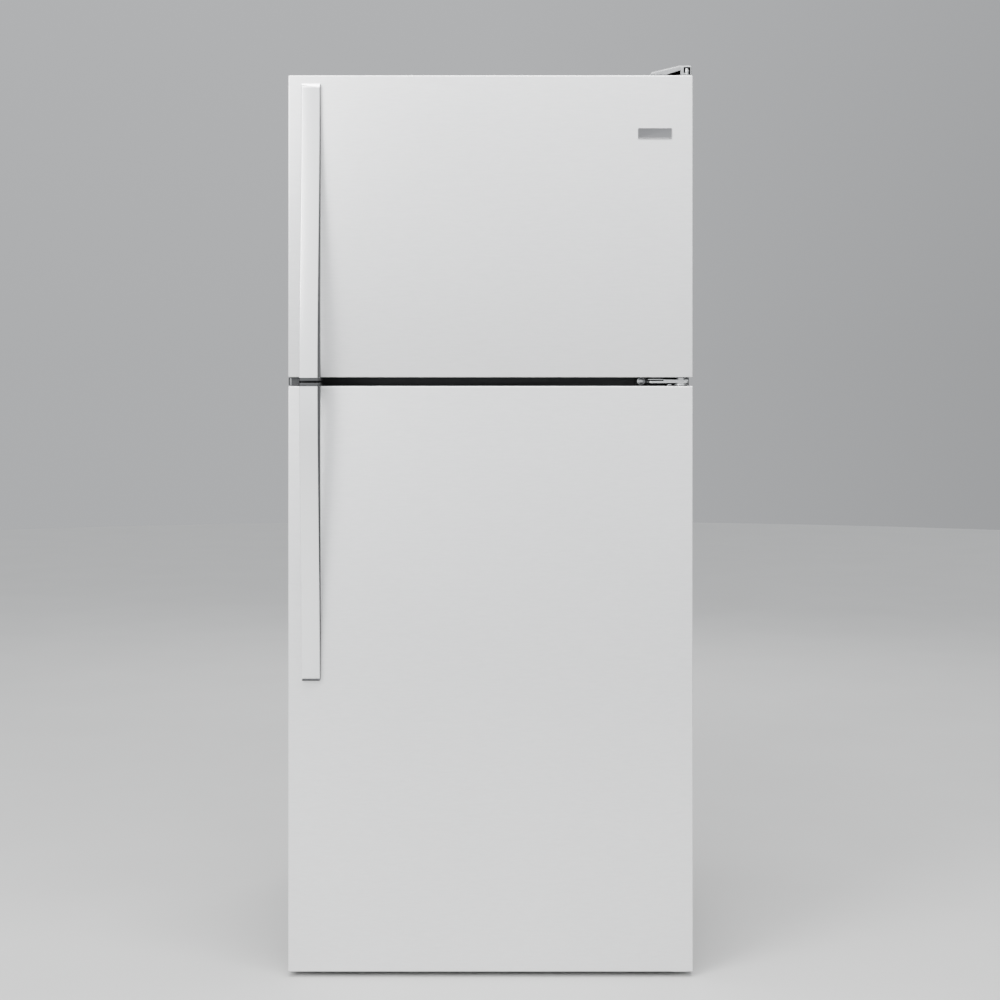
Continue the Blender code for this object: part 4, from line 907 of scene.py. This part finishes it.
for node, name, finish in (
    ("freezer_door_bin", "freezer_moulded_bin", white_plastic),
    ("lower_door_bin", "lower_clear_bin", clear_plastic),
    ("upper_door_bin", "upper_clear_bin", clear_plastic),
):
    low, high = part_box(node)
    tray = bin_shell(low, high, 0.0025, 0.012, 0.0045, 0.007)
    band = rounded(block(
        (low.x + 0.02, high.y - 0.0015, high.z - 0.030), (high.x - 0.02, high.y + 0.0012, high.z - 0.024),
    ), 0.0008)
    settle(joined(tray, band), name, finish, node)
settle(softened("dairy_compartment", 0.0010), "dairy_box", clear_plastic, "dairy_compartment")
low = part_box("dairy_lid")[0]
lid = softened("dairy_lid", 0.0008)
lip = rounded(block((-0.060, low.y - 0.0030, low.z + 0.004), (0.060, low.y + 0.001, low.z + 0.008)), 0.0010)
settle(joined(lid, lip), "dairy_lid_sheet", clear_plastic, "dairy_lid")
low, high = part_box("drain_pan")
pan = bin_shell(low, high, 0.0015, 0.016, 0.0035, 0.003)
settle(pan, "moulded_drain_pan", black_plastic, "drain_pan")


# ---- Hinges, hinge cover and hole plug -----------------------------------------------------
# Plated steel hinge plates carry the pins. The middle one is screwed to the rail, the top one
# has a silver sloped cover, and a plug under the freezer door fills the spare hinge hole.

plated = metal(
    "plated_steel", "zinc_steel", (0.60, 0.61, 0.62), (0.74, 0.75, 0.75), 0.22,
    1.0, (120, 120, 120), 0.00006,
)
settle(softened("bottom_hinge", 0.0008), "bottom_hinge_bracket", plated, "bottom_hinge")
cover_low, cover_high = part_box("top_hinge_cover")
crest = cover_high.x - 0.022
low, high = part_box("top_hinge")
top_leaf = softened("top_hinge", 0.0008)
carved(top_leaf, block(
    (low.x - OVER, low.y - OVER, low.z - OVER), (crest + 0.0015, cover_low.y + 0.036, high.z + OVER),
))
settle(top_leaf, "top_hinge_plate", plated, "top_hinge")

low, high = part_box("middle_hinge")
pin_x, pin_y = high.x - 0.014, low.y + 0.013
gap_low, gap_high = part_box("fridge_door_skin")[1].z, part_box("freezer_door_skin")[0].z
gap_middle = (gap_low + gap_high) / 2
PLATE = 0.004
PIN_RADIUS = 0.005
leaf_left = half_width - 0.081
leaf = block(
    (leaf_left, low.y, gap_middle - PLATE / 2 - 0.001),
    (high.x, high.y - PLATE, gap_middle + PLATE / 2 - 0.001),
)
shape(leaf, "EDGE", lambda edge: runs(edge, "Z") and middle(edge).y < low.y + NEAR, bevel(0.007, 5))
rounded(leaf, 0.0008)
stiffener = rounded(block(
    (leaf_left, low.y + 0.010, gap_middle + 0.0028), (leaf_left + 0.029, low.y + 0.0125, gap_middle + 0.0048),
), 0.0005)
collars = [
    rounded(rod((pin_x, pin_y, bottom), (pin_x, pin_y, top), radius, sides=40), 0.0006)
    for bottom, top, radius in (
        (gap_low + 0.0006, gap_low + 0.0034, 0.0125), (gap_low + 0.0030, gap_middle, 0.0100),
        (gap_middle, gap_high - 0.0006, 0.0085),
    )
]
pin = rounded(rod((pin_x, pin_y, low.z), (pin_x, pin_y, high.z), PIN_RADIUS), 0.0012)
cam_x = pin_x - 0.021
cam = rounded(rod((cam_x, pin_y, gap_low + 0.0004), (cam_x, pin_y, gap_low + 0.0036), 0.0050), 0.0010)
doubler = rounded(block(
    (pin_x - 0.033, low.y + 0.002, gap_middle), (high.x - 0.001, high.y - PLATE, gap_middle + 0.0038),
), 0.0008)
settle(joined(leaf, stiffener, *collars, pin, cam, doubler), "middle_hinge_leaf", plated, "middle_hinge")
# The seat is black, where the real flange is plated like the hinge: painted shade in the deep gap between the
# doors.
seat = rounded(block(
    (low.x, high.y - PLATE, gap_low + 0.001), (high.x - 0.004, high.y, gap_high - 0.001),
), 0.0005)
settle(seat, "middle_hinge_seat_in_painted_shade", black_steel, body="cabinet")
low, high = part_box("middle_hinge_screw")
screw_x, screw_z = (low.x + high.x) / 2, (low.z + high.z) / 2
screw_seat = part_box("middle_hinge")[1].y - PLATE
head = hex_screw((screw_x, screw_seat, screw_z), (0, -1, 0), 0.0120, 0.0053)
dimple = rounded(rod(
    (screw_x, screw_seat - 0.0050, screw_z), (screw_x, screw_seat - 0.0062, screw_z), 0.0032,
), 0.0004)
head = joined(head, dimple)
shank = rod((screw_x, screw_seat, screw_z), (screw_x, high.y, screw_z), 0.003)
settle(joined(head, rounded(shank, 0.0006)), "hinge_screw", plated, "middle_hinge_screw")

# A dark grey plastic for the handle feet and the hinge plug. It also colours the dark strips beside the handles,
# where it is painted shade.
foot_plastic_and_painted_shade = moulded(
    "foot_plastic_and_painted_shade", "grey_plastic", (0.040, 0.041, 0.043), (0.056, 0.057, 0.059), 0.60,
    Specular_IOR_Level=0.25,
)
silver_plastic = moulded(
    "silver_plastic", "silver_plastic", (0.27, 0.275, 0.28), (0.32, 0.325, 0.33), 0.26, 900.0,
    Metallic=0.25,
)
low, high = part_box("hinge_hole_plug")
settle(softened("hinge_hole_plug", 0.0008, 3), "moulded_plug", foot_plastic_and_painted_shade, "hinge_hole_plug")
ridge = rounded(block(
    (low.x + 0.0035, low.y - 0.0008, low.z + 0.001), (low.x + 0.0055, low.y + 0.002, high.z - 0.001),
), 0.0005)
settle(ridge, "plug_ridge", silver_plastic, body="freezer_door")

low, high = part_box("top_hinge_cover")
COVER_WALL = 0.002
cover = block(low, high)
shape(
    cover, "FACE", lambda face: True,
    lambda: bpy.ops.mesh.bisect(plane_co=(crest, 0, 0), plane_no=(1, 0, 0)),
)
for point in cover.data.vertices:
    if point.co.x < low.x + NEAR and point.co.z > low.z + NEAR:
        point.co.z = low.z + 0.0046
shape(cover, "FACE", facing(0, 0, -1), remove_faces)
shape(
    cover, "EDGE",
    lambda edge: not all(v.co.z < low.z + NEAR for v in edge.verts) and not (
        all(abs(v.co.x - crest) < NEAR for v in edge.verts) and not runs(edge, "Y")
    ),
    bevel(0.0030, 4),
)
modified(cover, "SOLIDIFY", thickness=COVER_WALL, offset=-1.0)
wedge = block(
    (crest - 0.0235, low.y - OVER, low.z - OVER), (crest + 0.0012, low.y + 2 * COVER_WALL, low.z + 0.0086),
)
for point in wedge.data.vertices:
    if point.co.x < crest - 0.020 and point.co.z > low.z:
        point.co.z = low.z + 0.0008
carved(cover, wedge)
rounded(cover, 0.0003, 2)
post = rounded(block(
    (crest + 0.0020, low.y - 0.0006, low.z + 0.0002), (crest + 0.0062, low.y + 0.0024, high.z - 0.0030),
), 0.0006)
window = block(
    (crest + 0.0070, low.y - OVER, low.z + 0.0004),
    (high.x - 0.0026, low.y + 2 * COVER_WALL, low.z + 0.0142),
)
carved(cover, window)
settle(joined(cover, post), "sloped_hinge_cover", silver_plastic, "top_hinge_cover")
bush_x, bush_y = high.x - 0.0088, low.y + 0.0072
barrel = rod((bush_x, bush_y, low.z + 0.0002), (bush_x, bush_y, low.z + 0.0130), 0.0040)
ring = rod((bush_x, bush_y, low.z + 0.0052), (bush_x, bush_y, low.z + 0.0085), 0.0050)
settle(joined(rounded(barrel, 0.0008), rounded(ring, 0.0005)), "top_hinge_bush", plated, body="cabinet")


# ---- Handles and badge plate ---------------------------------------------------------------
# Each handle is a flat steel strap, flush with the door at its outer end and bowed out toward
# the gap, where a foot carries it back under or over the edge of the door. A dark strip along
# its right side is painted shade: it stands for the strap's side and the shadow that it casts
# on the door, and widens as the strap leaves the door. The badge is a small blank plate of dark nickel.

handle_steel = metal(
    "handle_steel", "handle_steel", (0.90, 0.905, 0.91), (0.96, 0.965, 0.97), 0.15,
    1.0, (1300, 500, 9), 0.00003, metallic=0.55,
)
STRAP = 0.009
END_SLOPE = 1.9
END_CAP = 0.0052
LIP = -0.0016
SHADE_BAND = 0.0028
FOOT = 0.0062
for label, foot_end in (("freezer", -1), ("fridge", 1)):
    low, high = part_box(f"{label}_door_handle")
    door_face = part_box(f"{label}_door_skin")[0].y
    reach = door_face - low.y
    length = high.z - low.z
    foot_z = low.z if foot_end < 0 else high.z
    outer_z = high.z if foot_end < 0 else low.z + END_CAP
    edge_z = foot_z - foot_end * FOOT
    strap_low, strap_high = sorted((outer_z, edge_z))

    def bar(left, right, near, far, end_cut, right_cut, left_round):
        """A straight bar along the handle, cut into short lengths so that it can be bowed."""
        front_y = door_face - FIT - far
        made = block((left, front_y, strap_low), (right, door_face - FIT - near, strap_high))
        shape(made, "EDGE", lambda edge: runs(edge, "Z"), lambda: bpy.ops.mesh.subdivide(number_cuts=63))
        shape(
            made, "EDGE",
            lambda edge: runs(edge, "X") and abs(middle(edge).z - outer_z) < HAIR
            and middle(edge).y < front_y + HAIR,
            bevel(end_cut, 1),
        )
        for side_x, cut in ((right, bevel(right_cut, 1)), (left, bevel(left_round, 3))):
            shape(
                made, "EDGE",
                lambda edge: all(abs(v.co.x - side_x) < HAIR and v.co.y < front_y + HAIR for v in edge.verts),
                cut,
            )
        for point in made.data.vertices:
            if abs(abs(point.co.z - outer_z) - end_cut) < HAIR and point.co.y < front_y + HAIR:
                point.co.z = outer_z + foot_end * END_SLOPE * end_cut
            share = min(1.0, abs(point.co.z - outer_z) / length)
            point.co.y -= (reach - STRAP - FIT) * share * share * (3 - 2 * share)
        return made

    face = bar(low.x, high.x + LIP, STRAP - 0.0064, STRAP, 0.0040, 0.0008, 0.0018)
    spine = bar(low.x + 0.0008, high.x + LIP, 0, STRAP - 0.0062, 0.0002, 0.0002, 0.0002)
    # A dark strip right of the strap is painted shade: the strap's side and its shadow on the door, widening from
    # almost nothing at the flush end.
    shade_band_left = high.x + LIP + 0.0002
    shade_band = bar(shade_band_left, high.x + SHADE_BAND, 0, STRAP - 0.0030, 0.0010, 0.0006, 0.0002)
    for point in shade_band.data.vertices:
        share = min(1.0, abs(point.co.z - outer_z) / length)
        point.co.x = shade_band_left + (point.co.x - shade_band_left) * (0.08 + 1.1 * share)
    foot = rounded(block(
        (low.x + 0.0006, low.y + 0.0006, min(foot_z, edge_z)),
        (high.x - 0.0006, high.y, max(foot_z, edge_z)),
    ), 0.0010)
    settle(joined(face, spine), f"{label}_handle_strap", handle_steel, f"{label}_door_handle")
    foot_and_shade_bands = [foot, shade_band]
    # On the fridge handle a dark strip under the strap's outer end is painted shade beneath that end.
    if foot_end > 0:
        foot_and_shade_bands.append(rounded(block(
            (low.x + 0.0004, door_face - FIT - STRAP + 0.0012, outer_z - 0.0028),
            (high.x + LIP, door_face - FIT, outer_z - 0.0002),
        ), 0.0004))
    settle(joined(*foot_and_shade_bands), f"{label}_handle_foot_and_painted_shade", foot_plastic_and_painted_shade, body=f"{label}_door")

low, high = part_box("badge_plate")
badge = block(low, high)
shape(badge, "EDGE", lambda edge: runs(edge, "Y"), bevel(0.0022, 4))
shape(badge, "FACE", facing(0, -1, 0), inset(0.0010), inset(0.0004, -0.0004))
nickel = metal(
    "dark_nickel", "silver_plastic", (0.20, 0.20, 0.205), (0.27, 0.27, 0.275), 0.24,
    1.0, (9, 500, 1500), 0.00003,
)
settle(rounded(badge, 0.0002, 2), "blank_badge", nickel, "badge_plate")
